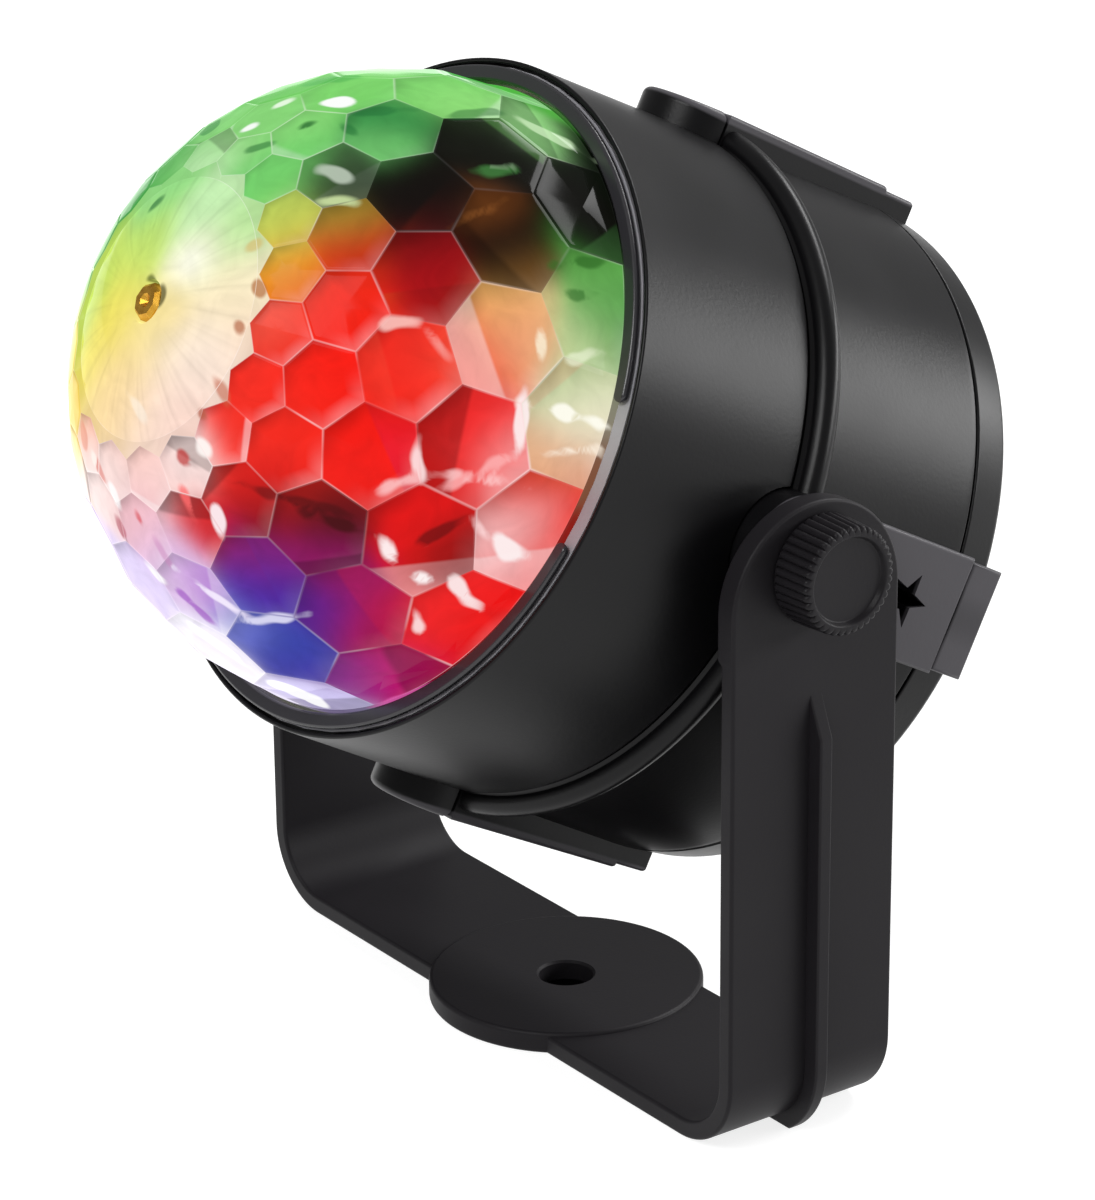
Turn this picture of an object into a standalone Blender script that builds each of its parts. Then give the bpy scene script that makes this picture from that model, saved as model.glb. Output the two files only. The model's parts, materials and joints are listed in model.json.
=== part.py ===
"""LED disco ball light: a faceted clear dome that turns on a tilting lamp head in a U bracket.

Metres, +Z up. The underside of the base is at z = 0, the tilt axis runs along X and the
dome looks to -Y, lifted by TILT. The pieces of the head are drawn along their own +Z, the
head's axis, with the tilt axis through their origin, and hang on one empty that tips them.
"""
import math

import bmesh
import bpy
from mathutils import Matrix, Vector

MM = 0.001

# Driving sizes of the whole light
TILT = math.radians(27.9)             # how far the dome looks up
PIVOT_HEIGHT = 73.8 * MM              # tilt axis above the table
GAP = 0.3 * MM                        # clearance between pieces that touch
OVERRUN = 1.0 * MM                    # how far a cutter stands past what it cuts
WELD = 0.001 * MM                     # points this close are one point
BITE = 0.6 * MM                       # how deep a joined shape sinks into its neighbour
EDGE = 0.5 * MM                       # chamfer on a moulded edge

# Smoothness of round pieces, in steps to a full turn
SHELL_STEPS = 54
INNER_STEPS = 36
PART_STEPS = 20
SCREW_STEPS = 8
BEND_STEPS = 7                        # to a quarter turn
ARC_STEPS = 4                         # to an edge rounding
SHARP_ANGLE = math.radians(32.0)      # edges sharper than this stay crisp
FACET_SHARP_ANGLE = math.radians(12.0)
FLAT_ANGLE = math.radians(0.05)       # faces this close to level with each other are made one

# U bracket
STRAP_WIDTH = 24.9 * MM
EAR_THICKNESS = 2.35 * MM
BASE_THICKNESS = 2.45 * MM
BEND_RADIUS = 10.0 * MM               # outside of the bend between base and ear
PIVOT_OVER_TOP_ARC = 4.3 * MM         # the ear's round top is struck from below the tilt axis
EAR_TOP_ANGLE = math.radians(84.0)    # how far round its arc each half of the top goes
BOSS_THICKNESS = 0.75 * MM            # thicker inner side of the ear round the tilt axis
BOSS_DROP = 10.1 * MM                 # how far the boss reaches below the tilt axis
DISC_RADIUS = 17.85 * MM
DISC_THICKNESS = 2.9 * MM
BASE_HOLE_RADIUS = 3.55 * MM
RIB_WIDTH = 1.85 * MM
RIB_HEIGHT = 2.15 * MM
RIB_TOP_DROP = 15.6 * MM              # ramp of the rib starts this far below the tilt axis
RIB_RAMP = 5.3 * MM

# Lamp head, along its own axis from the tilt axis
REAR_RADIUS = 44.4 * MM
HEAD_TAPER = 1.9 * MM                 # how much the head narrows from the rear to the rim
RIM_AHEAD = 28.0 * MM
REAR_BEHIND = 33.4 * MM
SHELL_WALL = 1.8 * MM
SEAM_AHEAD = 1.3 * MM                 # front end of the rear shell
COVER_LENGTH = 5.8 * MM               # length of the rear cover's skirt
COVER_DRAFT = 0.4 * MM                # how much the skirt narrows to the rear
COVER_ROUND = 1.2 * MM
COVER_PLATE = 2.0 * MM
BEAD_RADIUS = 1.6 * MM                # half-round ridge beside the seam
BEAD_RISE = 2.25 * MM                 # crest of the bead above the head's side

# Raised pads on four sides of the head
PAD_WIDTH = 14.9 * MM
PAD_RISE = 2.2 * MM                   # flat face of a pad above the head's widest place
COVER_PAD_STEP = 0.45 * MM            # the rear cover's pads are this much smaller all round
TONGUE_AHEAD = 14.4 * MM              # front end of the top and bottom pads
TONGUE_ROUND = 2.4 * MM
STAR_TIPS = 5
STAR_RADIUS = 3.6 * MM
STAR_INNER_SHARE = 0.4
STAR_FROM_COVER = 8.7 * MM            # middle of the star ahead of the rear cover

# Clear dome
DOME_RIM_GAP = 1.6 * MM               # between the ball and the bore of the rim
DOME_OVER_RIM = 0.15 * MM             # middle of the ball ahead of the rim
DOME_WALL = 1.7 * MM
DOME_SKIRT = 1.9 * MM                 # straight part below the ball's widest place
FACETS_ROUND = 18
FACET_ROWS = 5
FACET_PHASE = math.radians(2.0)
CAP_POLAR = math.radians(24.3)        # smooth cap at the tip, from the axis
CAP_SINK = 0.5 * MM
CAP_RINGS = 2
SKIRT_STEPS_PER_FACET = 4
HUB_WALL = 1.4 * MM
HUB_LENGTH = 8.0 * MM
HEAD_RECESS_DEPTH = 1.7 * MM

# Retaining ring
RING_RUNNING_GAP = 0.4 * MM           # between the ring and the turning dome
RING_THICKNESS = 0.8 * MM
RING_INSET = 0.2 * MM                 # the ring is this much narrower than the flange it lies on
RING_GAP_START = math.radians(76.7)   # from the top of the head towards +X
RING_GAP_END = math.radians(101.2)

# Lamp plate, board and heat sink
PLATE_THICKNESS = 1.4 * MM
PLATE_WALL = 0.7 * MM                 # upstanding edge of the plate
PLATE_DEPTH = 5.1 * MM                # from the top of the plate's flange to its underside
FLANGE_THICKNESS = 0.5 * MM
FLANGE_BELOW_RIM = 0.3 * MM
RIM_LIP = 0.6 * MM                    # thin edge of the rim outside the plate's flange
LAMP_CIRCLE_SHARE = 0.5               # lamps' circle, of the round board's radius
LAMP_COUNT = 3
LAMP_PHASE = math.radians(30.0)
LENS_RADIUS = 5.0 * MM
LENS_RISE = 3.6 * MM
EMITTER_RADIUS = 2.8 * MM
EMITTER_HEIGHT = 1.1 * MM
BOARD_POST_GAP = 1.2 * MM             # between the round board and the screw posts
BOARD_THICKNESS = 1.6 * MM
SINK_THICKNESS = 3.0 * MM
SINK_FIN_DEPTH = 4.0 * MM
SINK_FIN_THICKNESS = 1.4 * MM
SINK_FIN_PITCH = 3.3 * MM
SINK_SCREW_CIRCLE_SHARE = 0.632       # of the round board's radius
SINK_SCREW_PHASE = 0.0
POST_RUNNING_GAP = 0.7 * MM           # round the drive post

# Gear motor and drive post
MOTOR_RADIUS = 14.0 * MM
MOTOR_LENGTH = 14.0 * MM
GEARBOX_RADIUS = 14.6 * MM
GEARBOX_LENGTH = 6.0 * MM
MOTOR_EAR_SPAN = 18.5 * MM            # screw to the motor's axis
MOTOR_EAR_RADIUS = 3.6 * MM
MOTOR_EAR_THICKNESS = 1.2 * MM
SINK_POST_RADIUS = 3.2 * MM
SINK_POST_LENGTH = 3.2 * MM
SHAFT_RADIUS = 1.5 * MM
SHAFT_SEAT = 5.0 * MM                 # shaft length inside the gearbox
SHAFT_LENGTH = 14.0 * MM
POST_RADIUS = 3.0 * MM                # hexagonal drive post, corner to axis
COUPLING_RADIUS = 4.0 * MM
COUPLING_LENGTH = 12.0 * MM

# Screw joints between the shells
BOSS_SINK = 0.5 * MM                  # how deep a screw post sinks into its shell's wall
FRONT_BOSS_RADIUS = 3.0 * MM
REAR_BOSS_RADIUS = 3.7 * MM
REAR_BOSS_LENGTH = 7.0 * MM
COVER_BOSS_LENGTH = 11.0 * MM
SHELL_SCREW_COUNT = 4
SHELL_SCREW_PHASE = math.radians(45.0)
COVER_SCREW_PHASE = math.radians(22.5)

# Plain screws, all of one family
SCREW_RADIUS = 1.2 * MM
SCREW_HEAD_RADIUS = 2.3 * MM
SCREW_HEAD_HEIGHT = 1.4 * MM
SCREW_SLOT_RADIUS = 0.9 * MM
SCREW_SLOT_DEPTH = 0.7 * MM
HOUSING_SCREW_LENGTH = 18.0 * MM
DRIVER_SCREW_LENGTH = 6.0 * MM
DOME_SCREW_LENGTH = 11.0 * MM

# Thumb knobs on the tilt axis
KNOB_BASE_RADIUS = 6.85 * MM
KNOB_FACE_RADIUS = 6.6 * MM
KNOB_LENGTH = 5.6 * MM
KNOB_RIBS = 40
KNOB_RIB_DEPTH = 0.35 * MM
KNOB_DISH_RADIUS = 5.4 * MM
KNOB_DISH_DEPTH = 0.7 * MM
STUD_RADIUS = 2.4 * MM
STUD_HEAD_RADIUS = 4.3 * MM           # hexagon, corner to axis
STUD_HEAD_THICKNESS = 2.2 * MM
WASHER_RADIUS = 5.0 * MM
WASHER_THICKNESS = 0.8 * MM
INSERT_RADIUS = 3.5 * MM
INSERT_LENGTH = 6.0 * MM
PIVOT_BLOCK_WALL = 2.6 * MM           # plastic round and behind the threaded insert

# Driver board and what it carries, behind the motor
DRIVER_EDGE_GAP = 4.5 * MM            # between the driver board and the cover's screw posts
DRIVER_OVER_PLATE = 9.6 * MM          # board above the inside of the rear cover
DRIVER_POST_CIRCLE_SHARE = 0.806      # of the driver board's radius
DRIVER_POST_RADIUS = 2.8 * MM
DRIVER_POST_COUNT = 3
DRIVER_POST_PHASE = 0.0
MOTOR_BACK_GAP = 2.9 * MM             # between the motor and the tall pieces on the driver board
TRANSFORMER_WIDTH = 13.0 * MM
TRANSFORMER_DEPTH = 12.0 * MM
TRANSFORMER_PLACE_SHARES = (-0.45, 0.32)   # places on the driver board, of its radius
CAPACITOR_RADIUS = 4.0 * MM
CAPACITOR_PLACE_SHARES = (0.39, 0.42)
CHIP_SIZE = (8.6 * MM, 3.9 * MM, 1.5 * MM)
CHIP_PLACE_SHARES = (0.0, -0.55)

# Push button, cord bushing and microphone
BUTTON_PLACE_SHARES = (-0.355, -0.55)
BUTTON_RADIUS = 3.6 * MM
BUTTON_PROUD = 1.5 * MM
BUTTON_FLANGE_RADIUS = 4.8 * MM
BUTTON_FLANGE_THICKNESS = 1.0 * MM
BUTTON_TRAVEL = 0.8 * MM
SWITCH_WIDTH = 6.0 * MM
SWITCH_HEIGHT = 3.5 * MM
SWITCH_BORE_RADIUS = 2.0 * MM
SWITCH_BORE_DEPTH = 2.2 * MM
BUSHING_PLACE_SHARES = (0.0, -0.806)
BUSHING_RADIUS = 4.0 * MM
BUSHING_FLANGE_RADIUS = 5.4 * MM
BUSHING_FLANGE_THICKNESS = 1.4 * MM
BUSHING_LENGTH = 5.5 * MM
BUSHING_BORE_RADIUS = 1.9 * MM
MICROPHONE_RADIUS = 3.0 * MM
MICROPHONE_DEPTH = 3.6 * MM
HOLDER_WALL = 1.2 * MM

# Vent slots in the rear cover
VENT_PITCH = 4.2 * MM
VENT_WIDTH = 2.0 * MM
VENT_FIELD_SHARE = 0.87               # radius of the vent field, of the driver board's
VENT_LOWEST = -2.0 * MM

# Places that follow from the sizes above
RIM_RADIUS = REAR_RADIUS - HEAD_TAPER
PAD_REACH = REAR_RADIUS + PAD_RISE
EAR_INNER = PAD_REACH + GAP + BOSS_THICKNESS
EAR_OUTER = EAR_INNER + EAR_THICKNESS
SEAM_END = SEAM_AHEAD + GAP
COVER_FRONT = -REAR_BEHIND + COVER_LENGTH
REAR_SHELL_END = COVER_FRONT + GAP
COVER_INSIDE = -REAR_BEHIND + COVER_PLATE
STAR_BEHIND = -REAR_SHELL_END - STAR_FROM_COVER
BORE_RADIUS = RIM_RADIUS - SHELL_WALL
DOME_RADIUS = BORE_RADIUS - DOME_RIM_GAP
DOME_AHEAD = RIM_AHEAD + DOME_OVER_RIM
REBATE_RADIUS = RIM_RADIUS - RIM_LIP
FLANGE_RADIUS = REBATE_RADIUS - GAP
FLANGE_TOP = RIM_AHEAD - FLANGE_BELOW_RIM
FLANGE_BOTTOM = FLANGE_TOP - FLANGE_THICKNESS
RING_BOTTOM = FLANGE_TOP + GAP
RING_TOP = RING_BOTTOM + RING_THICKNESS
RING_OUTER = FLANGE_RADIUS - RING_INSET
RING_INNER = DOME_RADIUS + RING_RUNNING_GAP
PLATE_BACK = FLANGE_TOP - PLATE_DEPTH
PLATE_FRONT = PLATE_BACK + PLATE_THICKNESS
PLATE_RADIUS = BORE_RADIUS - GAP
SHELL_BOSS_CIRCLE = BORE_RADIUS - FRONT_BOSS_RADIUS + BOSS_SINK
BOARD_RADIUS = SHELL_BOSS_CIRCLE - FRONT_BOSS_RADIUS - BOARD_POST_GAP
LAMP_CIRCLE = BOARD_RADIUS * LAMP_CIRCLE_SHARE
SINK_SCREW_CIRCLE = BOARD_RADIUS * SINK_SCREW_CIRCLE_SHARE
SINK_FIN_ROOM = BOARD_RADIUS - SINK_SCREW_CIRCLE - SCREW_HEAD_RADIUS
SINK_FIN_COUNT = max(0, int(SINK_FIN_ROOM / SINK_FIN_PITCH))
CENTRE_HOLE_RADIUS = COUPLING_RADIUS + POST_RUNNING_GAP
LED_BOARD_FRONT = PLATE_BACK - GAP - EMITTER_HEIGHT
LED_BOARD_BACK = LED_BOARD_FRONT - BOARD_THICKNESS
SINK_FRONT = LED_BOARD_BACK - GAP
SINK_BACK = SINK_FRONT - SINK_THICKNESS
SINK_POST_END = SINK_BACK - SINK_POST_LENGTH
GEARBOX_FRONT = SINK_POST_END - GAP
GEARBOX_BACK = GEARBOX_FRONT - GEARBOX_LENGTH
MOTOR_TOP = GEARBOX_BACK - GAP
MOTOR_BACK = MOTOR_TOP - MOTOR_LENGTH
SHAFT_START = GEARBOX_FRONT - SHAFT_SEAT
SHAFT_END = SHAFT_START + SHAFT_LENGTH
DOME_TIP_INSIDE = DOME_AHEAD + DOME_RADIUS - CAP_SINK - DOME_WALL
HUB_RADIUS = POST_RADIUS + GAP + HUB_WALL
HUB_END = DOME_TIP_INSIDE - HUB_LENGTH
POST_START = GEARBOX_FRONT + GAP
POST_TOP = DOME_TIP_INSIDE - DOME_WALL
DRIVER_BACK = COVER_INSIDE + DRIVER_OVER_PLATE
DRIVER_FRONT = DRIVER_BACK + BOARD_THICKNESS
DRIVER_PIECE_HEIGHT = MOTOR_BACK - MOTOR_BACK_GAP - DRIVER_FRONT - GAP
SWITCH_BACK = DRIVER_BACK - GAP - SWITCH_HEIGHT
KNOB_START = EAR_OUTER + GAP
KNOB_SOCKET = EAR_OUTER + 2 * GAP + WASHER_THICKNESS
PIVOT_BLOCK_INNER = PAD_REACH - INSERT_LENGTH - PIVOT_BLOCK_WALL
PIVOT_BLOCK_RADIUS = INSERT_RADIUS + GAP + PIVOT_BLOCK_WALL

# The light is centred front to back on y = 0
FRONT_REACH = DOME_AHEAD * math.cos(TILT) + DOME_RADIUS
REAR_REACH = (REAR_BEHIND - EDGE) * math.cos(TILT) + (PAD_REACH - COVER_PAD_STEP) * math.sin(TILT)
BASE_Y = (FRONT_REACH - REAR_REACH) / 2


def housing_radius(ahead):
    """Outer radius of the tapered head at a place along its axis."""
    share = (RIM_AHEAD - ahead) / (RIM_AHEAD + REAR_BEHIND)
    return RIM_RADIUS + (REAR_RADIUS - RIM_RADIUS) * share


BEAD_OUTER = housing_radius(0) + BEAD_RISE
PAD_ROOT = math.sqrt((housing_radius(TONGUE_AHEAD) - BITE) ** 2 - (PAD_WIDTH / 2) ** 2)
COVER_BOSS_CIRCLE = housing_radius(REAR_SHELL_END) - SHELL_WALL - REAR_BOSS_RADIUS + BOSS_SINK
DRIVER_RADIUS = COVER_BOSS_CIRCLE - REAR_BOSS_RADIUS - DRIVER_EDGE_GAP
COVER_HEAD_SEAT = SCREW_HEAD_HEIGHT + 2 * GAP - REAR_BEHIND
DRIVER_POST_CIRCLE = DRIVER_RADIUS * DRIVER_POST_CIRCLE_SHARE
VENT_FIELD_RADIUS = DRIVER_RADIUS * VENT_FIELD_SHARE
VENT_ROOM = DRIVER_POST_CIRCLE - DRIVER_POST_RADIUS - VENT_WIDTH - VENT_LOWEST
VENT_COUNT = 1 + max(0, int(VENT_ROOM / VENT_PITCH))


def driver_place(shares):
    """A place over the driver board, from its shares of the board's radius."""
    return (shares[0] * DRIVER_RADIUS, shares[1] * DRIVER_RADIUS)


TRANSFORMER_PLACE = driver_place(TRANSFORMER_PLACE_SHARES)
CAPACITOR_PLACE = driver_place(CAPACITOR_PLACE_SHARES)
CHIP_PLACE = driver_place(CHIP_PLACE_SHARES)
BUTTON_PLACE = driver_place(BUTTON_PLACE_SHARES)
BUSHING_PLACE = driver_place(BUSHING_PLACE_SHARES)


def finish(name, colour, metallic=0.0, roughness=0.5, alpha=1.0):
    """A material with the colour and gloss of the real piece."""
    material = bpy.data.materials.new(name)
    material.use_nodes = True
    shader = material.node_tree.nodes["Principled BSDF"]
    shader.inputs["Base Color"].default_value = (*colour, 1.0)
    shader.inputs["Metallic"].default_value = metallic
    shader.inputs["Roughness"].default_value = roughness
    shader.inputs["Alpha"].default_value = alpha
    return material


BLACK_PLASTIC = ((0.022, 0.021, 0.023), 0.0, 0.42)
GLOSS_BLACK = ((0.012, 0.012, 0.013), 0.0, 0.25)
DARK_RUBBER = ((0.016, 0.016, 0.016), 0.0, 0.7)
CLEAR_PLASTIC = ((0.85, 0.12, 0.10), 0.0, 0.05)
FROSTED_PLASTIC = ((0.8, 0.8, 0.78), 0.0, 0.3)
STEEL = ((0.55, 0.55, 0.56), 1.0, 0.32)
BRASS = ((0.72, 0.52, 0.22), 1.0, 0.35)
ALUMINIUM = ((0.75, 0.76, 0.77), 1.0, 0.4)
BOARD_GREEN = ((0.02, 0.14, 0.05), 0.0, 0.45)
TAPE_YELLOW = ((0.78, 0.55, 0.06), 0.0, 0.5)
LAMP_COLOURS = {"red": (0.9, 0.03, 0.02), "green": (0.03, 0.8, 0.08), "blue": (0.03, 0.06, 0.9)}
LAMP_GLOSS = (0.0, 0.3)


def dress(piece, look, sharp=SHARP_ANGLE):
    """Gives a piece its own material and smooth shading with sharp edges kept."""
    piece.data.materials.clear()
    piece.data.materials.append(finish(piece.name + "_finish", *look))
    piece.data.shade_smooth()
    piece.data.set_sharp_from_angle(angle=sharp)
    return piece


def link(name, mesh_data):
    """Puts a bmesh into the scene as a named object whose faces point outwards."""
    bmesh.ops.recalc_face_normals(mesh_data, faces=mesh_data.faces)
    mesh = bpy.data.meshes.new(name)
    mesh_data.to_mesh(mesh)
    mesh_data.free()
    piece = bpy.data.objects.new(name, mesh)
    bpy.context.scene.collection.objects.link(piece)
    return piece


def lathe(name, outline, steps=PART_STEPS):
    """A turned piece: the outline of (radius, height) points goes once round the Z axis.

    An outline that starts and ends on the axis is a solid, and any other one closes into a ring.
    """
    shape = bmesh.new()
    points = [shape.verts.new((radius, 0, height)) for radius, height in outline]
    edges = [shape.edges.new(pair) for pair in zip(points, points[1:])]
    if outline[0][0] or outline[-1][0]:
        edges.append(shape.edges.new((points[-1], points[0])))
    bmesh.ops.spin(shape, geom=points + edges, cent=(0, 0, 0), axis=(0, 0, 1),
                   angle=math.tau, steps=steps, use_merge=True)
    bmesh.ops.remove_doubles(shape, verts=shape.verts, dist=WELD)
    bmesh.ops.dissolve_limit(shape, angle_limit=FLAT_ANGLE, verts=shape.verts, edges=shape.edges)
    return link(name, shape)


def prism(name, outline, low, high):
    """A flat outline of (x, y) points carried from z = low to z = high."""
    shape = bmesh.new()
    face = shape.faces.new([shape.verts.new((x, y, low)) for x, y in outline])
    grown = bmesh.ops.extrude_face_region(shape, geom=[face])
    moved = [item for item in grown["geom"] if isinstance(item, bmesh.types.BMVert)]
    bmesh.ops.translate(shape, verts=moved, vec=(0, 0, high - low))
    return link(name, shape)


def rod(name, radius, low, high, at=(0, 0), steps=PART_STEPS):
    """A round rod from z = low to z = high, standing at (x, y).

    It starts a quarter step round, so that its corners miss the edges of what it meets.
    """
    piece = lathe(name, [(0, low), (radius, low), (radius, high), (0, high)], steps)
    turn(piece, math.tau / steps / 4, "Z")
    return shift(piece, (at[0], at[1], 0))


def screw_hole(low, high, place):
    """A cutter for a screw's shank."""
    return rod("hole", SCREW_RADIUS + GAP, low, high, place, SCREW_STEPS)


def block(name, size, at, low):
    """A box of (width, depth, height) with its middle over (x, y) and its foot at z = low."""
    half_x, half_y = size[0] / 2, size[1] / 2
    outline = [(at[0] - half_x, at[1] - half_y), (at[0] + half_x, at[1] - half_y),
               (at[0] + half_x, at[1] + half_y), (at[0] - half_x, at[1] + half_y)]
    return prism(name, outline, low, low + size[2])


def shift(piece, offset):
    """Moves a piece's mesh and leaves its origin where it is."""
    piece.data.transform(Matrix.Translation(offset))
    return piece


def turn(piece, angle, axis):
    """Turns a piece's mesh about an axis through its origin."""
    piece.data.transform(Matrix.Rotation(angle, 4, axis))
    return piece


def combine(target, tools, operation):
    """Joins the tools to the target, or cuts them out of it, and uses them up."""
    for tool in tools:
        modifier = target.modifiers.new(tool.name, "BOOLEAN")
        modifier.operation = operation
        modifier.object = tool
    view = bpy.context.evaluated_depsgraph_get()
    result = bpy.data.meshes.new_from_object(target.evaluated_get(view))
    target.modifiers.clear()
    used = [target.data] + [tool.data for tool in tools]
    target.data = result
    for tool in tools:
        bpy.data.objects.remove(tool)
    for mesh in used:
        bpy.data.meshes.remove(mesh)
    shape = bmesh.new()
    shape.from_mesh(target.data)
    bmesh.ops.dissolve_limit(shape, angle_limit=FLAT_ANGLE, verts=shape.verts, edges=shape.edges)
    shape.to_mesh(target.data)
    shape.free()
    return target


def join(target, *tools):
    """Joins solids into one."""
    return combine(target, tools, "UNION")


def cut(target, *tools):
    """Cuts solids out of another."""
    return combine(target, tools, "DIFFERENCE")


def round_places(count, circle, phase):
    """Places (x, y) spaced evenly round a circle, the first at the phase from the top towards +X."""
    angles = [phase + math.tau * index / count for index in range(count)]
    return [(circle * math.sin(angle), circle * math.cos(angle)) for angle in angles]


def arc(centre, radius, start, end, steps=ARC_STEPS):
    """Points on an arc from one angle to another, both ends included."""
    angles = [start + (end - start) * index / steps for index in range(steps + 1)]
    return [(centre[0] + radius * math.cos(angle), centre[1] + radius * math.sin(angle))
            for angle in angles]


def screw(name, length, at, seat, points=-1):
    """A pan-head screw with its head on z = seat, its shank running to -Z or, with points 1, to +Z."""
    tip = SCREW_RADIUS
    outline = [(0, SCREW_HEAD_HEIGHT - SCREW_SLOT_DEPTH), (SCREW_SLOT_RADIUS, SCREW_HEAD_HEIGHT),
               (SCREW_HEAD_RADIUS - EDGE, SCREW_HEAD_HEIGHT), (SCREW_HEAD_RADIUS, SCREW_HEAD_HEIGHT - EDGE),
               (SCREW_HEAD_RADIUS, 0), (SCREW_RADIUS, 0), (SCREW_RADIUS, tip - length), (0, -length)]
    piece = lathe(name, outline, SCREW_STEPS)
    if points > 0:
        turn(piece, math.pi, "X")
    shift(piece, (at[0], at[1], seat))
    return dress(piece, STEEL)


def strap_stations():
    """Half of the bracket's strap as (outer x, outer z, inner x, inner z, half width), middle to tip."""
    inner_bend = BEND_RADIUS - EAR_THICKNESS
    centre = (EAR_INNER - inner_bend, BASE_THICKNESS + inner_bend)
    outer = arc((EAR_OUTER - BEND_RADIUS, BEND_RADIUS), BEND_RADIUS, -math.pi / 2, 0, BEND_STEPS)
    inner = arc(centre, inner_bend, -math.pi / 2, 0, BEND_STEPS)
    stations = [(0, 0, 0, BASE_THICKNESS, STRAP_WIDTH / 2)]
    stations += [(*out, *inn, STRAP_WIDTH / 2) for out, inn in zip(outer, inner)]
    foot = PIVOT_HEIGHT - BOSS_DROP
    boss = EAR_INNER - BOSS_THICKNESS
    stations.append((EAR_OUTER, foot, EAR_INNER, foot, STRAP_WIDTH / 2))
    stations.append((EAR_OUTER, foot + BOSS_THICKNESS, boss, foot + BOSS_THICKNESS, STRAP_WIDTH / 2))
    top_arc = arc((0, PIVOT_HEIGHT - PIVOT_OVER_TOP_ARC), STRAP_WIDTH / 2, 0, EAR_TOP_ANGLE, BEND_STEPS)
    stations += [(EAR_OUTER, height, boss, height, half) for half, height in top_arc]
    return stations


def strap():
    """The bent strap: a rectangle carried along the U, narrowing to a round tip on each ear."""
    half = strap_stations()
    whole = [(-ox, oz, -ix, iz, width) for ox, oz, ix, iz, width in reversed(half[1:])] + half
    shape = bmesh.new()
    rings = []
    for outer_x, outer_z, inner_x, inner_z, width in whole:
        corners = [(outer_x, -width, outer_z), (outer_x, width, outer_z),
                   (inner_x, width, inner_z), (inner_x, -width, inner_z)]
        rings.append([shape.verts.new(corner) for corner in corners])
    for ring, following in zip(rings, rings[1:]):
        for side in range(4):
            beside = (side + 1) % 4
            shape.faces.new((ring[side], ring[beside], following[beside], following[side]))
    shape.faces.new(rings[0])
    shape.faces.new(rings[-1])
    return link("bracket", shape)


def rib(side):
    """Stiffening rib down the outside of an ear and round the bend, cut level with the table."""
    crest = BEND_RADIUS + RIB_HEIGHT
    foot_angle = -math.asin(BEND_RADIUS / crest)
    centre = (EAR_OUTER - BEND_RADIUS, BEND_RADIUS)
    top = PIVOT_HEIGHT - RIB_TOP_DROP
    outline = [(EAR_OUTER - BITE, top), (EAR_OUTER, top), (EAR_OUTER + RIB_HEIGHT, top - RIB_RAMP)]
    outline += arc(centre, crest, 0, foot_angle, BEND_STEPS)
    outline += [(centre[0] + BITE, 0)]
    outline += arc(centre, BEND_RADIUS - BITE, -math.pi / 2, 0, BEND_STEPS)
    piece = prism("rib", outline, -RIB_WIDTH / 2, RIB_WIDTH / 2)
    turn(piece, math.pi / 2, "X")
    if side < 0:
        turn(piece, math.pi, "Z")
    return piece


def make_bracket():
    """The U bracket with its base disc, ribs, tilt holes and the hole for a fixing screw."""
    bracket = strap()
    disc = rod("disc", DISC_RADIUS, 0, DISC_THICKNESS, steps=SHELL_STEPS)
    join(bracket, disc, rib(1), rib(-1))
    tilt_hole = rod("tilt_hole", STUD_RADIUS + GAP, -EAR_OUTER - OVERRUN, EAR_OUTER + OVERRUN)
    shift(turn(tilt_hole, math.pi / 2, "Y"), (0, 0, PIVOT_HEIGHT))
    base_hole = rod("base_hole", BASE_HOLE_RADIUS, -OVERRUN, DISC_THICKNESS + OVERRUN)
    cut(bracket, tilt_hole, base_hole)
    return dress(bracket, BLACK_PLASTIC)


def pad(direction, low, high, reach, width):
    """A raised pad along the head, at quarter turns 0 top, 1 right, 2 bottom and 3 left."""
    half = width / 2
    outline = [(-half, PAD_ROOT), (half, PAD_ROOT), (half, reach - EDGE), (half - EDGE, reach),
               (EDGE - half, reach), (-half, reach - EDGE)]
    return turn(prism("pad", outline, low, high), -direction * math.pi / 2, "Z")


def round_pad(direction, low, high, rounding, edge):
    """A raised pad with a rounded front end, drawn in towards its flat face by the edge."""
    half = PAD_WIDTH / 2
    right = arc((half - rounding, high - rounding), rounding, 0, math.pi / 2)
    left = arc((rounding - half, high - rounding), rounding, math.pi / 2, math.pi)
    plan = [(half, low)] + right + left[0 if rounding < half else 1:] + [(-half, low)]
    shape = bmesh.new()
    rings = []
    levels = [(0, PAD_ROOT), (0, PAD_REACH - edge), (edge / 4, PAD_REACH - edge / 3), (edge, PAD_REACH)]
    for inset, height in levels:
        across, along = 1 - inset / half, 1 - inset / (high - low)
        rings.append([shape.verts.new((x * across, height, low + (y - low) * along)) for x, y in plan])
    for ring, following in zip(rings, rings[1:]):
        bridge(shape, ring, following)
    shape.faces.new(rings[0])
    shape.faces.new(rings[-1])
    return turn(link("pad", shape), -direction * math.pi / 2, "Z")


def pivot_rod(name, radius, inner, outer):
    """A round rod on the tilt axis, from inner to outer along +X of the head."""
    return turn(rod(name, radius, inner, outer), math.pi / 2, "Y")


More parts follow.
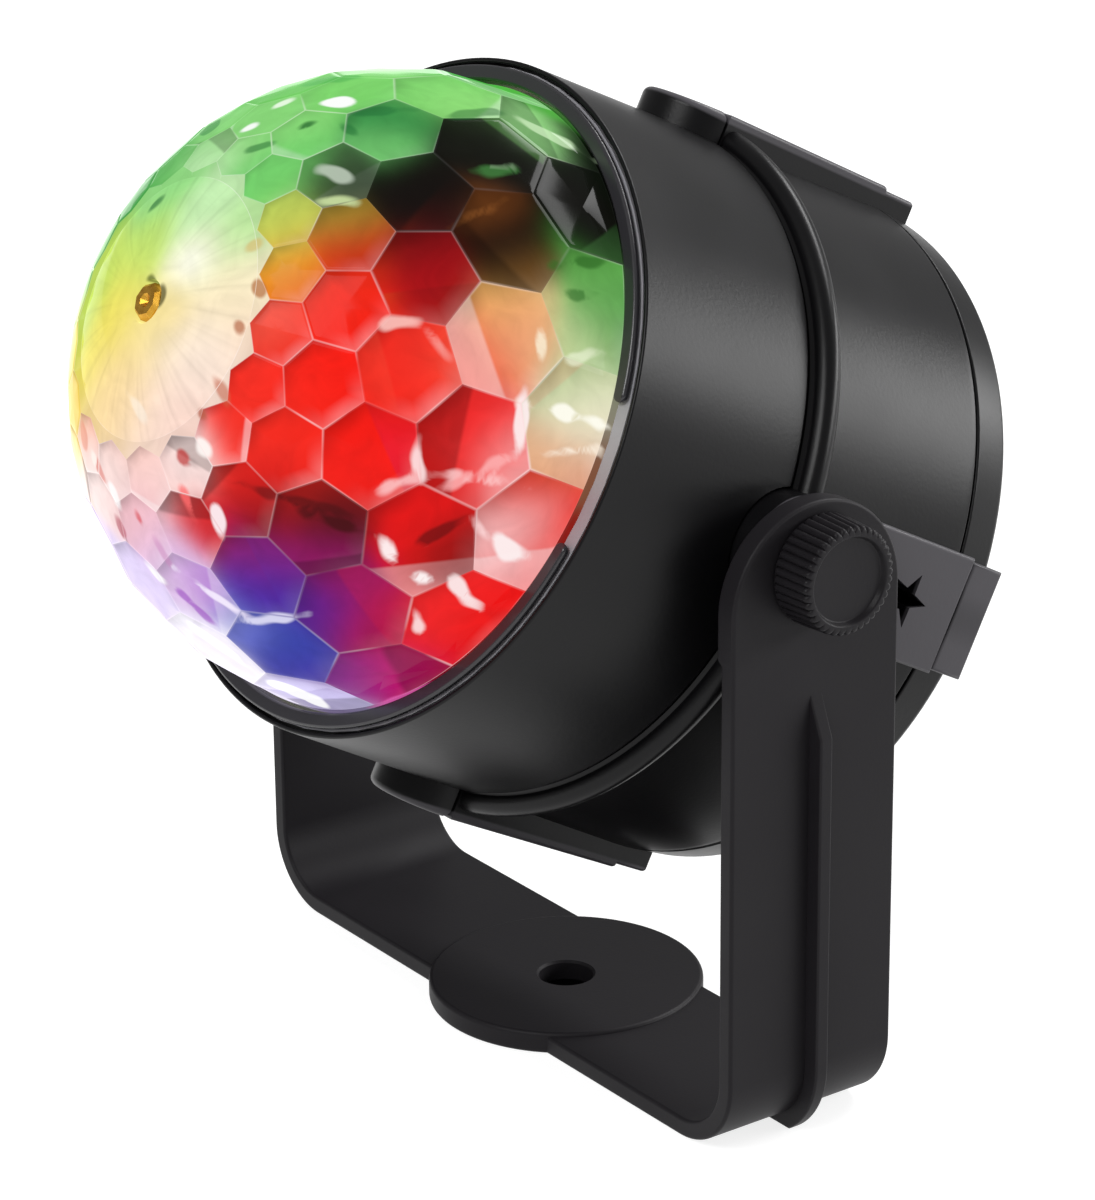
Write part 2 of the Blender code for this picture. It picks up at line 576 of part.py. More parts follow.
def make_front_shell():
    """Front half of the head: a tapered tube with a rebated rim, two tongues and four screw posts."""
    rebate_floor = FLANGE_BOTTOM - GAP
    outline = [(BORE_RADIUS, SEAM_END), (housing_radius(SEAM_END) - EDGE, SEAM_END),
               (housing_radius(SEAM_END + EDGE), SEAM_END + EDGE),
               (housing_radius(RIM_AHEAD - RIM_LIP / 2), RIM_AHEAD - RIM_LIP / 2),
               (RIM_RADIUS - RIM_LIP / 2, RIM_AHEAD), (REBATE_RADIUS, RIM_AHEAD),
               (REBATE_RADIUS, rebate_floor), (BORE_RADIUS, rebate_floor)]
    shell = lathe("front_shell", outline, SHELL_STEPS)
    places = round_places(SHELL_SCREW_COUNT, SHELL_BOSS_CIRCLE, SHELL_SCREW_PHASE)
    posts = [rod("post", FRONT_BOSS_RADIUS, SEAM_END, PLATE_BACK - GAP, at=place) for place in places]
    tongues = [round_pad(side, SEAM_END, TONGUE_AHEAD, TONGUE_ROUND, 2 * EDGE) for side in (0, 2)]
    join(shell, *tongues, *posts)
    notch = pivot_rod("notch", PAD_WIDTH / 2 + GAP, -PAD_REACH, PAD_REACH)
    reach = HOUSING_SCREW_LENGTH - REAR_BOSS_LENGTH + OVERRUN
    pilots = [screw_hole(SEAM_AHEAD - OVERRUN, SEAM_AHEAD + reach, place) for place in places]
    cut(shell, notch, *pilots)
    return dress(shell, BLACK_PLASTIC)


def make_rear_shell():
    """Middle part of the head: seam bead, pads, pivot blocks, star-shaped sound hole and screw posts."""
    bead_centre = (BEAD_OUTER - BEAD_RADIUS, SEAM_AHEAD - GAP - BEAD_RADIUS)
    bead_foot = math.acos((housing_radius(0) - bead_centre[0]) / BEAD_RADIUS)
    bead = arc(bead_centre, BEAD_RADIUS, bead_foot, -bead_foot)
    end_radius = housing_radius(REAR_SHELL_END)
    front_radius = housing_radius(SEAM_AHEAD)
    outline = [(front_radius - SHELL_WALL, SEAM_AHEAD), (front_radius - GAP, SEAM_AHEAD)] + bead
    outline += [(end_radius, REAR_SHELL_END), (end_radius - SHELL_WALL, REAR_SHELL_END)]
    shell = lathe("rear_shell", outline, SHELL_STEPS)
    parts = [pad(side, REAR_SHELL_END, SEAM_AHEAD, PAD_REACH, PAD_WIDTH) for side in (0, 2)]
    parts += [round_pad(side, REAR_SHELL_END, PAD_WIDTH / 2, PAD_WIDTH / 2, EDGE) for side in (1, 3)]
    block_end = PAD_REACH - EDGE
    parts += [pivot_rod("block", PIVOT_BLOCK_RADIUS, PIVOT_BLOCK_INNER, block_end),
              pivot_rod("block", PIVOT_BLOCK_RADIUS, -block_end, -PIVOT_BLOCK_INNER)]
    places = round_places(SHELL_SCREW_COUNT, SHELL_BOSS_CIRCLE, SHELL_SCREW_PHASE)
    post_end = SEAM_AHEAD - REAR_BOSS_LENGTH
    posts = [rod("post", REAR_BOSS_RADIUS, post_end, SEAM_AHEAD, at=place) for place in places]
    cover_places = round_places(SHELL_SCREW_COUNT, COVER_BOSS_CIRCLE, COVER_SCREW_PHASE)
    posts += [rod("post", REAR_BOSS_RADIUS, REAR_SHELL_END, REAR_SHELL_END + COVER_BOSS_LENGTH, at=place)
              for place in cover_places]
    holder_radius = MICROPHONE_RADIUS + GAP + HOLDER_WALL
    holder_inner = housing_radius(-STAR_BEHIND) - SHELL_WALL - MICROPHONE_DEPTH
    holder = shift(pivot_rod("holder", holder_radius, holder_inner, PAD_ROOT + BITE), (0, 0, -STAR_BEHIND))
    join(shell, *parts, *posts, holder)
    bore = pivot_rod("bore", INSERT_RADIUS + GAP, -PAD_REACH - OVERRUN, PAD_REACH + OVERRUN)
    holes = [screw_hole(post_end - OVERRUN, SEAM_AHEAD + OVERRUN, place) for place in places]
    cover_hole_end = REAR_SHELL_END + COVER_BOSS_LENGTH - OVERRUN
    holes += [screw_hole(REAR_SHELL_END - OVERRUN, cover_hole_end, place) for place in cover_places]
    pocket_end = housing_radius(-STAR_BEHIND) - SHELL_WALL
    pocket = pivot_rod("pocket", MICROPHONE_RADIUS + GAP, holder_inner - OVERRUN, pocket_end)
    shift(pocket, (0, 0, -STAR_BEHIND))
    cut(shell, bore, star(pocket_end - BITE, PAD_REACH + OVERRUN), pocket, *holes)
    return dress(shell, BLACK_PLASTIC)


def star(inner, outer):
    """A plain five-pointed star through the side pad, one tip to the rear."""
    outline = []
    for index in range(2 * STAR_TIPS):
        radius = STAR_RADIUS * (STAR_INNER_SHARE if index % 2 else 1)
        angle = math.pi * index / STAR_TIPS
        outline.append((radius * math.cos(angle), radius * math.sin(angle)))
    piece = turn(prism("star", outline, inner, outer), math.pi / 2, "Y")
    return shift(piece, (0, 0, -STAR_BEHIND))


def vent_slot(height, inner, outer):
    """One level vent slot, as long as the vent field's circle allows at its height."""
    half_width = VENT_WIDTH / 2
    reach = math.sqrt(VENT_FIELD_RADIUS ** 2 - height ** 2) - half_width
    outline = arc((reach, height), half_width, -math.pi / 2, math.pi / 2)
    outline += arc((-reach, height), half_width, math.pi / 2, 3 * math.pi / 2)
    return prism("vent", outline, inner, outer)


def make_rear_cover():
    """Rear cover: a shallow cup with pad ends, vents, screw and board posts and holes."""
    skirt = housing_radius(COVER_FRONT)
    rear = skirt - COVER_DRAFT
    rounding = arc((rear - COVER_ROUND, COVER_ROUND - REAR_BEHIND), COVER_ROUND, -math.pi / 2, 0)
    outline = [(0, -REAR_BEHIND)] + rounding
    outline += [(skirt, COVER_FRONT), (skirt - SHELL_WALL, COVER_FRONT), (skirt - SHELL_WALL, COVER_INSIDE),
                (0, COVER_INSIDE)]
    cover = lathe("rear_cover", outline, SHELL_STEPS)
    reach, width = PAD_REACH - COVER_PAD_STEP, PAD_WIDTH - 2 * COVER_PAD_STEP
    pads = [pad(side, EDGE - REAR_BEHIND, COVER_FRONT, reach, width) for side in range(4)]
    screw_places = round_places(SHELL_SCREW_COUNT, COVER_BOSS_CIRCLE, COVER_SCREW_PHASE)
    foot = COVER_INSIDE - BITE
    posts = [rod("post", REAR_BOSS_RADIUS, foot, COVER_FRONT, at=place) for place in screw_places]
    board_places = round_places(DRIVER_POST_COUNT, DRIVER_POST_CIRCLE, DRIVER_POST_PHASE)
    posts += [rod("post", DRIVER_POST_RADIUS, foot, DRIVER_BACK - GAP, at=place) for place in board_places]
    join(cover, *pads, *posts)
    outside, inside = -REAR_BEHIND - OVERRUN, COVER_INSIDE + OVERRUN
    vents = [vent_slot(VENT_LOWEST + VENT_PITCH * index, outside, inside) for index in range(VENT_COUNT)]
    holes = [screw_hole(outside, REAR_SHELL_END + OVERRUN, place) for place in screw_places]
    head_room = SCREW_HEAD_RADIUS + GAP
    holes += [rod("sink", head_room, outside, COVER_HEAD_SEAT, at=place) for place in screw_places]
    pilot_end = DRIVER_BACK - DRIVER_SCREW_LENGTH
    holes += [screw_hole(pilot_end, DRIVER_BACK + OVERRUN, place) for place in board_places]
    holes.append(rod("button_hole", BUTTON_RADIUS + GAP, outside, inside, at=BUTTON_PLACE))
    holes.append(rod("cord_hole", BUSHING_RADIUS + GAP, outside, inside, at=BUSHING_PLACE))
    cut(cover, *vents, *holes)
    return dress(cover, BLACK_PLASTIC)


def facet_point(level, column, radius):
    """A point of the honeycomb on the ball.

    The honeycomb is drawn flat, with half a facet side to a level and half a facet to a column,
    and wrapped so that angles are kept: equal steps on the flat shrink towards the tip.
    """
    azimuth = FACET_PHASE + math.pi * column / FACETS_ROUND
    half_side = math.pi / FACETS_ROUND / math.sqrt(3)
    polar = 2 * math.atan(math.exp(-level * half_side))
    return ball_point(polar, azimuth, radius)


def ball_point(polar, azimuth, radius):
    """A point on the dome's ball, by its angle from the axis and its angle from the top to +X."""
    flat = radius * math.sin(polar)
    return Vector((flat * math.sin(azimuth), flat * math.cos(azimuth), DOME_AHEAD + radius * math.cos(polar)))


def facet_outline(row, column):
    """Corners of one facet as (level, column), the lowest row being cut off at the ball's widest place."""
    middle = 1 + 3 * (FACET_ROWS - 1 - row)
    top = [(middle + 1, column + 1), (middle + 2, column), (middle + 1, column - 1)]
    if row < FACET_ROWS - 1:
        return top + [(middle - 1, column - 1), (middle - 2, column), (middle - 1, column + 1)]
    steps = range(SKIRT_STEPS_PER_FACET + 1)
    return top + [(0, column - 1 + 2 * step / SKIRT_STEPS_PER_FACET) for step in steps]


def dome_skin(shape, radius, bottom):
    """One skin of the dome, the outer or the inner one, as far down as its straight skirt."""
    corners = {}

    def corner(level, column):
        key = (level, round(column * SKIRT_STEPS_PER_FACET) % (2 * FACETS_ROUND * SKIRT_STEPS_PER_FACET))
        if key not in corners:
            corners[key] = shape.verts.new(facet_point(level, column, radius))
        return corners[key]

    for row in range(FACET_ROWS):
        for index in range(FACETS_ROUND):
            ring = [corner(*place) for place in facet_outline(row, 2 * index + row % 2)]
            middle = shape.verts.new(sum((vert.co for vert in ring), Vector()) / len(ring))
            for vert, following in zip(ring, ring[1:] + ring[:1]):
                shape.faces.new((vert, following, middle))
    top_level = 3 * FACET_ROWS
    zigzag = [corner(top_level - column % 2, column) for column in range(2 * FACETS_ROUND)]
    rings = [zigzag]
    for index in range(CAP_RINGS):
        polar = CAP_POLAR * (CAP_RINGS - index) / CAP_RINGS
        points = [ball_point(polar, FACET_PHASE + math.pi * column / FACETS_ROUND, radius - CAP_SINK)
                  for column in range(2 * FACETS_ROUND)]
        rings.append([shape.verts.new(point) for point in points])
    for ring, following in zip(rings, rings[1:]):
        bridge(shape, ring, following)
    tip = shape.verts.new((0, 0, DOME_AHEAD + radius - CAP_SINK))
    for vert, following in zip(rings[-1], rings[-1][1:] + rings[-1][:1]):
        shape.faces.new((vert, following, tip))
    count = FACETS_ROUND * SKIRT_STEPS_PER_FACET
    offset = row_offset()
    widest = [corner(0, offset + 2 * step / SKIRT_STEPS_PER_FACET) for step in range(count)]
    foot = [shape.verts.new((vert.co.x, vert.co.y, bottom)) for vert in widest]
    bridge(shape, widest, foot)
    return foot


def row_offset():
    """Column at which the lowest row of facets starts."""
    return (FACET_ROWS - 1) % 2 - 1


def bridge(shape, ring, following):
    """Quads between two rings of equally many points."""
    for index in range(len(ring)):
        beside = (index + 1) % len(ring)
        shape.faces.new((ring[index], ring[beside], following[beside], following[index]))


def make_dome():
    """Clear faceted dome with a hub inside its tip for the drive post and the tip screw."""
    bottom = DOME_AHEAD - DOME_SKIRT
    shape = bmesh.new()
    outer = dome_skin(shape, DOME_RADIUS, bottom)
    inner = dome_skin(shape, DOME_RADIUS - DOME_WALL, bottom)
    bridge(shape, outer, inner)
    dome = link("dome_shell", shape)
    hub = rod("hub", HUB_RADIUS, HUB_END, DOME_TIP_INSIDE + BITE)
    join(dome, hub)
    outside = DOME_AHEAD + DOME_RADIUS
    recess_floor = outside - CAP_SINK - HEAD_RECESS_DEPTH
    recess = rod("recess", SCREW_HEAD_RADIUS + GAP, recess_floor, outside + OVERRUN)
    hole = screw_hole(POST_TOP - OVERRUN, outside, (0, 0))
    socket = rod("socket", POST_RADIUS + GAP, HUB_END - OVERRUN, POST_TOP + GAP, steps=6)
    cut(dome, recess, hole, socket)
    return dress(dome, CLEAR_PLASTIC, FACET_SHARP_ANGLE)


def make_dome_screw():
    """The screw that holds the dome on its post, in a recess at the dome's tip."""
    seat = DOME_AHEAD + DOME_RADIUS - CAP_SINK - HEAD_RECESS_DEPTH + GAP
    return screw("dome_screw", DOME_SCREW_LENGTH, (0, 0), seat)


def make_drive_post():
    """Hexagonal post from the motor's shaft to the dome's tip, with a round coupling at its foot."""
    post = rod("drive_post", COUPLING_RADIUS, POST_START, POST_START + COUPLING_LENGTH)
    join(post, rod("stem", POST_RADIUS, POST_START + COUPLING_LENGTH - BITE, POST_TOP, steps=6))
    bore = rod("bore", SHAFT_RADIUS + GAP, POST_START - OVERRUN, SHAFT_END + GAP, steps=SCREW_STEPS)
    screw_end = DOME_AHEAD + DOME_RADIUS - CAP_SINK - HEAD_RECESS_DEPTH - DOME_SCREW_LENGTH
    pilot = screw_hole(screw_end, POST_TOP + OVERRUN, (0, 0))
    cut(post, bore, pilot)
    return dress(post, FROSTED_PLASTIC)


def make_retaining_ring():
    """Flat open ring that lies on the plate's flange round the dome, its gap low on the right."""
    turns = math.tau - (RING_GAP_END - RING_GAP_START)
    steps = round(SHELL_STEPS * turns / math.tau)
    angles = [math.pi / 2 - RING_GAP_END - turns * index / steps for index in range(steps + 1)]
    outline = [(RING_OUTER * math.cos(angle), RING_OUTER * math.sin(angle)) for angle in angles]
    outline += [(RING_INNER * math.cos(angle), RING_INNER * math.sin(angle)) for angle in reversed(angles)]
    return dress(prism("retaining_ring", outline, RING_BOTTOM, RING_TOP), GLOSS_BLACK)


def lamp_places():
    """Places of the three lamps on the board."""
    return round_places(LAMP_COUNT, LAMP_CIRCLE, LAMP_PHASE)


def sink_screw_places():
    """Places of the three screws that hold the heat sink and the board to the lamp plate."""
    return round_places(LAMP_COUNT, SINK_SCREW_CIRCLE, SINK_SCREW_PHASE)


def make_lamp_plate():
    """Plate behind the dome: a shallow pan whose flange lies in the rim, with three lamp windows."""
    inside = PLATE_RADIUS - PLATE_WALL
    outline = [(CENTRE_HOLE_RADIUS, PLATE_BACK), (PLATE_RADIUS, PLATE_BACK), (PLATE_RADIUS, FLANGE_BOTTOM),
               (FLANGE_RADIUS, FLANGE_BOTTOM), (FLANGE_RADIUS, FLANGE_TOP), (inside, FLANGE_TOP),
               (inside, PLATE_FRONT), (CENTRE_HOLE_RADIUS, PLATE_FRONT)]
    plate = lathe("lamp_plate", outline, SHELL_STEPS)
    windows = [rod("window", LENS_RADIUS + GAP, PLATE_BACK - OVERRUN, PLATE_FRONT + OVERRUN, at=place)
               for place in lamp_places()]
    pilots = [screw_hole(PLATE_BACK - OVERRUN, PLATE_FRONT + OVERRUN, place) for place in sink_screw_places()]
    cut(plate, *windows, *pilots)
    return dress(plate, BLACK_PLASTIC)


def make_led_board():
    """Round circuit board that carries the three lamps."""
    outline = [(CENTRE_HOLE_RADIUS, LED_BOARD_BACK), (BOARD_RADIUS, LED_BOARD_BACK),
               (BOARD_RADIUS, LED_BOARD_FRONT), (CENTRE_HOLE_RADIUS, LED_BOARD_FRONT)]
    board = lathe("led_board", outline, INNER_STEPS)
    low, high = LED_BOARD_BACK - OVERRUN, LED_BOARD_FRONT + OVERRUN
    holes = [screw_hole(low, high, place) for place in sink_screw_places()]
    cut(board, *holes)
    return dress(board, BOARD_GREEN)


def make_lamps():
    """Three coloured lamps, each with a clear lens standing in its window of the lamp plate."""
    pieces = []
    for (name, colour), place in zip(LAMP_COLOURS.items(), lamp_places()):
        foot = LED_BOARD_FRONT + GAP
        top = foot + EMITTER_HEIGHT - GAP
        emitter = rod("led_" + name, EMITTER_RADIUS, foot, top, place, SCREW_STEPS)
        pieces.append(dress(emitter, (colour, *LAMP_GLOSS)))
        low = LED_BOARD_FRONT + EMITTER_HEIGHT + GAP
        rim = PLATE_FRONT
        crown = arc((0, rim), LENS_RADIUS, 0, math.pi / 2)
        outline = [(0, low), (LENS_RADIUS, low)]
        outline += [(radius, rim + (height - rim) * LENS_RISE / LENS_RADIUS) for radius, height in crown[:-1]]
        outline += [(0, rim + LENS_RISE)]
        lens = shift(lathe("led_lens_" + name, outline, PART_STEPS), (place[0], place[1], 0))
        pieces.append(dress(lens, FROSTED_PLASTIC))
    return pieces


def make_heat_sink():
    """Aluminium disc behind the board, with ring fins and two posts for the motor."""
    outline = [(CENTRE_HOLE_RADIUS, SINK_FRONT), (BOARD_RADIUS, SINK_FRONT), (BOARD_RADIUS, SINK_BACK)]
    for index in range(SINK_FIN_COUNT):
        outer = BOARD_RADIUS - GAP - index * SINK_FIN_PITCH
        inner = outer - SINK_FIN_THICKNESS
        fin_end = SINK_BACK - SINK_FIN_DEPTH
        outline += [(outer, SINK_BACK), (outer, fin_end), (inner, fin_end), (inner, SINK_BACK)]
    outline.append((CENTRE_HOLE_RADIUS, SINK_BACK))
    sink = lathe("heat_sink", outline, INNER_STEPS)
    motor_places = motor_screw_places()
    root = SINK_BACK + BITE
    join(sink, *[rod("post", SINK_POST_RADIUS, SINK_POST_END, root, place) for place in motor_places])
    holes = [screw_hole(SINK_BACK - OVERRUN, SINK_FRONT + OVERRUN, place) for place in sink_screw_places()]
    holes += [screw_hole(SINK_POST_END - OVERRUN, SINK_FRONT - OVERRUN, place) for place in motor_places]
    cut(sink, *holes)
    return dress(sink, ALUMINIUM)


def motor_screw_places():
    """The two screw places of the gear motor's ears."""
    return [(MOTOR_EAR_SPAN, 0), (-MOTOR_EAR_SPAN, 0)]


def make_gear_motor():
    """Gear motor: a round gearbox with two ears, and its can behind it."""
    box = rod("motor_gearbox", GEARBOX_RADIUS, GEARBOX_BACK, GEARBOX_FRONT, steps=INNER_STEPS)
    ear_outline = arc((MOTOR_EAR_SPAN, 0), MOTOR_EAR_RADIUS, -math.pi / 2, math.pi / 2)
    ear_outline += arc((-MOTOR_EAR_SPAN, 0), MOTOR_EAR_RADIUS, math.pi / 2, 3 * math.pi / 2)
    join(box, prism("ears", ear_outline, GEARBOX_FRONT - MOTOR_EAR_THICKNESS, GEARBOX_FRONT))
    holes = [screw_hole(GEARBOX_BACK, GEARBOX_FRONT + OVERRUN, place) for place in motor_screw_places()]
    bore = rod("bore", SHAFT_RADIUS + GAP, SHAFT_START - GAP, GEARBOX_FRONT + OVERRUN, steps=SCREW_STEPS)
    cut(box, bore, *holes)
    dress(box, STEEL)
    outline = [(0, MOTOR_BACK), (MOTOR_RADIUS - EDGE, MOTOR_BACK), (MOTOR_RADIUS, MOTOR_BACK + EDGE),
               (MOTOR_RADIUS, MOTOR_TOP), (0, MOTOR_TOP)]
    can = dress(lathe("motor_can", outline, INNER_STEPS), STEEL)
    shaft = dress(rod("motor_shaft", SHAFT_RADIUS, SHAFT_START, SHAFT_END, steps=SCREW_STEPS), STEEL)
    return [box, can, shaft]


def make_driver():
    """Driver board with its transformer, capacitor and chip, and the button's switch behind it."""
    board = rod("driver_board", DRIVER_RADIUS, DRIVER_BACK, DRIVER_FRONT, steps=INNER_STEPS)
    places = round_places(DRIVER_POST_COUNT, DRIVER_POST_CIRCLE, DRIVER_POST_PHASE)
    cut(board, *[screw_hole(DRIVER_BACK - OVERRUN, DRIVER_FRONT + OVERRUN, place) for place in places])
    dress(board, BOARD_GREEN)
    seat = DRIVER_FRONT + GAP
    size = (TRANSFORMER_WIDTH, TRANSFORMER_DEPTH, DRIVER_PIECE_HEIGHT)
    transformer = dress(block("transformer", size, TRANSFORMER_PLACE, seat), TAPE_YELLOW)
    top = seat + DRIVER_PIECE_HEIGHT
    outline = [(0, seat), (CAPACITOR_RADIUS, seat), (CAPACITOR_RADIUS, top - EDGE),
               (CAPACITOR_RADIUS - EDGE, top), (0, top)]
    capacitor = shift(lathe("capacitor", outline, PART_STEPS), (*CAPACITOR_PLACE, 0))
    dress(capacitor, GLOSS_BLACK)
    chip = dress(block("controller_chip", CHIP_SIZE, CHIP_PLACE, seat), GLOSS_BLACK)
    switch = block("button_switch", (SWITCH_WIDTH, SWITCH_WIDTH, SWITCH_HEIGHT), BUTTON_PLACE, SWITCH_BACK)
    bore_end = SWITCH_BACK + SWITCH_BORE_DEPTH
    cut(switch, rod("bore", SWITCH_BORE_RADIUS, SWITCH_BACK - OVERRUN, bore_end, BUTTON_PLACE, SCREW_STEPS))
    dress(switch, GLOSS_BLACK)
    return [board, transformer, capacitor, chip, switch]


def make_button():
    """Push button through the rear cover, kept in by a flange, and the switch plunger that it presses."""
    flange_top = COVER_INSIDE + GAP + BUTTON_FLANGE_THICKNESS
    plunger_end = SWITCH_BACK - BUTTON_TRAVEL - GAP
    rear = -REAR_BEHIND - BUTTON_PROUD
    outline = [(0, rear), (BUTTON_RADIUS - EDGE, rear), (BUTTON_RADIUS, rear + EDGE),
               (BUTTON_RADIUS, COVER_INSIDE + GAP), (BUTTON_FLANGE_RADIUS, COVER_INSIDE + GAP),
               (BUTTON_FLANGE_RADIUS, flange_top), (SWITCH_BORE_RADIUS, flange_top),
               (SWITCH_BORE_RADIUS, plunger_end - GAP), (0, plunger_end - GAP)]
    button = dress(shift(lathe("mode_button", outline), (*BUTTON_PLACE, 0)), GLOSS_BLACK)
    top = SWITCH_BACK + SWITCH_BORE_DEPTH - BUTTON_TRAVEL - GAP
    radius = SWITCH_BORE_RADIUS - GAP
    plunger = rod("switch_plunger", radius, plunger_end, top, BUTTON_PLACE, SCREW_STEPS)
    return [button, dress(plunger, FROSTED_PLASTIC)]


def make_bushing():
    """Rubber bushing for the supply cord, low in the rear cover."""
    outside = -REAR_BEHIND - GAP
    rear = outside - BUSHING_FLANGE_THICKNESS
    front = rear + BUSHING_LENGTH
    outline = [(BUSHING_BORE_RADIUS, rear), (BUSHING_FLANGE_RADIUS - EDGE, rear),
               (BUSHING_FLANGE_RADIUS, rear + EDGE), (BUSHING_FLANGE_RADIUS, outside),
               (BUSHING_RADIUS, outside), (BUSHING_RADIUS, front), (BUSHING_BORE_RADIUS, front)]
    return dress(shift(lathe("cord_bushing", outline, PART_STEPS), (*BUSHING_PLACE, 0)), DARK_RUBBER)


def make_microphone():
    """Microphone capsule behind the star-shaped hole."""
    face = housing_radius(-STAR_BEHIND) - SHELL_WALL - GAP
    capsule = turn(rod("microphone", MICROPHONE_RADIUS, face - MICROPHONE_DEPTH, face), math.pi / 2, "Y")
    return dress(shift(capsule, (0, 0, -STAR_BEHIND)), ALUMINIUM)


def make_shell_screws():
    """The screws that hold the shells, the rear cover, the heat sink, the motor and the driver board."""
    pieces = []
    seat = SEAM_AHEAD - REAR_BOSS_LENGTH - GAP
    for index, place in enumerate(round_places(SHELL_SCREW_COUNT, SHELL_BOSS_CIRCLE, SHELL_SCREW_PHASE)):
        pieces.append(screw(f"housing_screw_{index + 1}", HOUSING_SCREW_LENGTH, place, seat, 1))
    seat = COVER_HEAD_SEAT - GAP
    length = REAR_SHELL_END + COVER_BOSS_LENGTH - 2 * OVERRUN - seat
    for index, place in enumerate(round_places(SHELL_SCREW_COUNT, COVER_BOSS_CIRCLE, COVER_SCREW_PHASE)):
        pieces.append(screw(f"cover_screw_{index + 1}", length, place, seat, 1))
    seat = SINK_BACK - GAP
    for index, place in enumerate(sink_screw_places()):
        pieces.append(screw(f"heat_sink_screw_{index + 1}", PLATE_FRONT - SINK_BACK, place, seat, 1))
    seat = GEARBOX_FRONT - MOTOR_EAR_THICKNESS - GAP
    for index, place in enumerate(motor_screw_places()):
        pieces.append(screw(f"motor_screw_{index + 1}", SINK_FRONT - 2 * OVERRUN - seat, place, seat, 1))
    for index, place in enumerate(round_places(DRIVER_POST_COUNT, DRIVER_POST_CIRCLE, DRIVER_POST_PHASE)):
        pieces.append(screw(f"driver_screw_{index + 1}", DRIVER_SCREW_LENGTH, place, DRIVER_FRONT + GAP))
    return pieces


def knob_outline(radius):
    """Outline of the knob's grip: a circle with small ribs."""
    outline = []
    for index in range(2 * KNOB_RIBS):
        reach = radius - (KNOB_RIB_DEPTH if index % 2 else 0)
        angle = math.pi * index / KNOB_RIBS
        outline.append((reach * math.cos(angle), reach * math.sin(angle)))
    return outline


def make_knob(side_name):
    """Thumb knob along its own +Z, the tilt axis, with a dished face and a hexagonal pocket for its stud."""
    end = KNOB_START + KNOB_LENGTH
    shape = bmesh.new()
    low = [shape.verts.new((x, y, KNOB_START)) for x, y in knob_outline(KNOB_BASE_RADIUS)]
    high = [shape.verts.new((x, y, end - EDGE)) for x, y in knob_outline(KNOB_FACE_RADIUS)]
    crown = [shape.verts.new((x, y, end)) for x, y in knob_outline(KNOB_FACE_RADIUS - EDGE)]
    bridge(shape, low, high)
    bridge(shape, high, crown)
    shape.faces.new(low)
    shape.faces.new(crown)
    knob = link("knob_" + side_name, shape)
    dish = rod("dish", KNOB_DISH_RADIUS, end - KNOB_DISH_DEPTH, end + OVERRUN, steps=INNER_STEPS)
    seat = rod("seat", WASHER_RADIUS + GAP, KNOB_START - OVERRUN, KNOB_SOCKET)
    pocket_end = KNOB_SOCKET + STUD_HEAD_THICKNESS + 2 * GAP
    pocket = rod("pocket", STUD_HEAD_RADIUS + GAP, KNOB_START, pocket_end, steps=6)
    cut(knob, dish, seat, pocket)
    return dress(knob, BLACK_PLASTIC)


def make_pivot_hardware(side_name):
    """Stud, washer and threaded insert of one thumb knob, along their own +Z, the tilt axis."""
    head_low = KNOB_SOCKET + GAP
    stud_end = PAD_REACH - INSERT_LENGTH + GAP
    stud = rod("stud_" + side_name, STUD_RADIUS, stud_end, head_low + BITE)
    join(stud, rod("hexagon", STUD_HEAD_RADIUS, head_low, head_low + STUD_HEAD_THICKNESS, steps=6))
    dress(stud, STEEL)
    inside, outside = STUD_RADIUS + GAP, EAR_OUTER + GAP
    face = outside + WASHER_THICKNESS
    outline = [(inside, outside), (WASHER_RADIUS, outside), (WASHER_RADIUS, face), (inside, face)]
    washer = lathe("washer_" + side_name, outline)
    dress(washer, STEEL)
    low, high = PAD_REACH - INSERT_LENGTH, PAD_REACH - GAP
    outline = [(inside, low), (INSERT_RADIUS, low), (INSERT_RADIUS, high), (inside, high)]
    insert = lathe("pivot_insert_" + side_name, outline)
    dress(insert, BRASS)
    return stud, washer, insert


def empty(name, location, parent=None, rotation=(0, 0, 0)):
    """A plain axis that other pieces hang on."""
    holder = bpy.data.objects.new(name, None)
    bpy.context.scene.collection.objects.link(holder)
    holder.parent = parent
    holder.location = location
    holder.rotation_euler = rotation
    return holder


def build():
    """Makes every piece and hangs it on its place."""
    for item in list(bpy.data.objects):
        bpy.data.objects.remove(item)
    make_bracket().location = (0, BASE_Y, 0)
    head = empty("head_axis", (0, BASE_Y, PIVOT_HEIGHT), rotation=(math.pi / 2 - TILT, 0, 0))
    head_pieces = [make_front_shell(), make_rear_shell(), make_rear_cover(), make_retaining_ring(),
                   make_lamp_plate(), make_led_board(), make_heat_sink(), make_bushing(), make_microphone(),
                   make_dome(), make_dome_screw(), make_drive_post()]
    head_pieces += make_lamps() + make_gear_motor() + make_driver() + make_button() + make_shell_screws()
    for piece in head_pieces:
        piece.parent = head
    for side_name, side in (("right", 1), ("left", -1)):
        stud, washer, insert = make_pivot_hardware(side_name)
        for piece in (make_knob(side_name), stud, washer, insert):
            piece.parent = head
            piece.rotation_euler = (0, side * math.pi / 2, 0)


build()
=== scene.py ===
# %% [markdown]
# # LED disco ball light
#
# A small party light: a faceted clear dome that glows in the colours of its three lamps, on a
# round black head that tilts in a U bracket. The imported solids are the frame, and this lesson
# dresses them: each visible moulding is made again as a fine surface in the same place, and each
# inner piece keeps its solid and gets the finish of its real material.
#
# Every piece is drawn in millimetres on a bench of its own: the bracket's bench stands on the
# table under the light, and the head's bench has its origin on the tilt axis and its third axis
# along the head. One matrix then carries a finished mesh from its bench into the frame.

# %% Load the frame
import json
import math

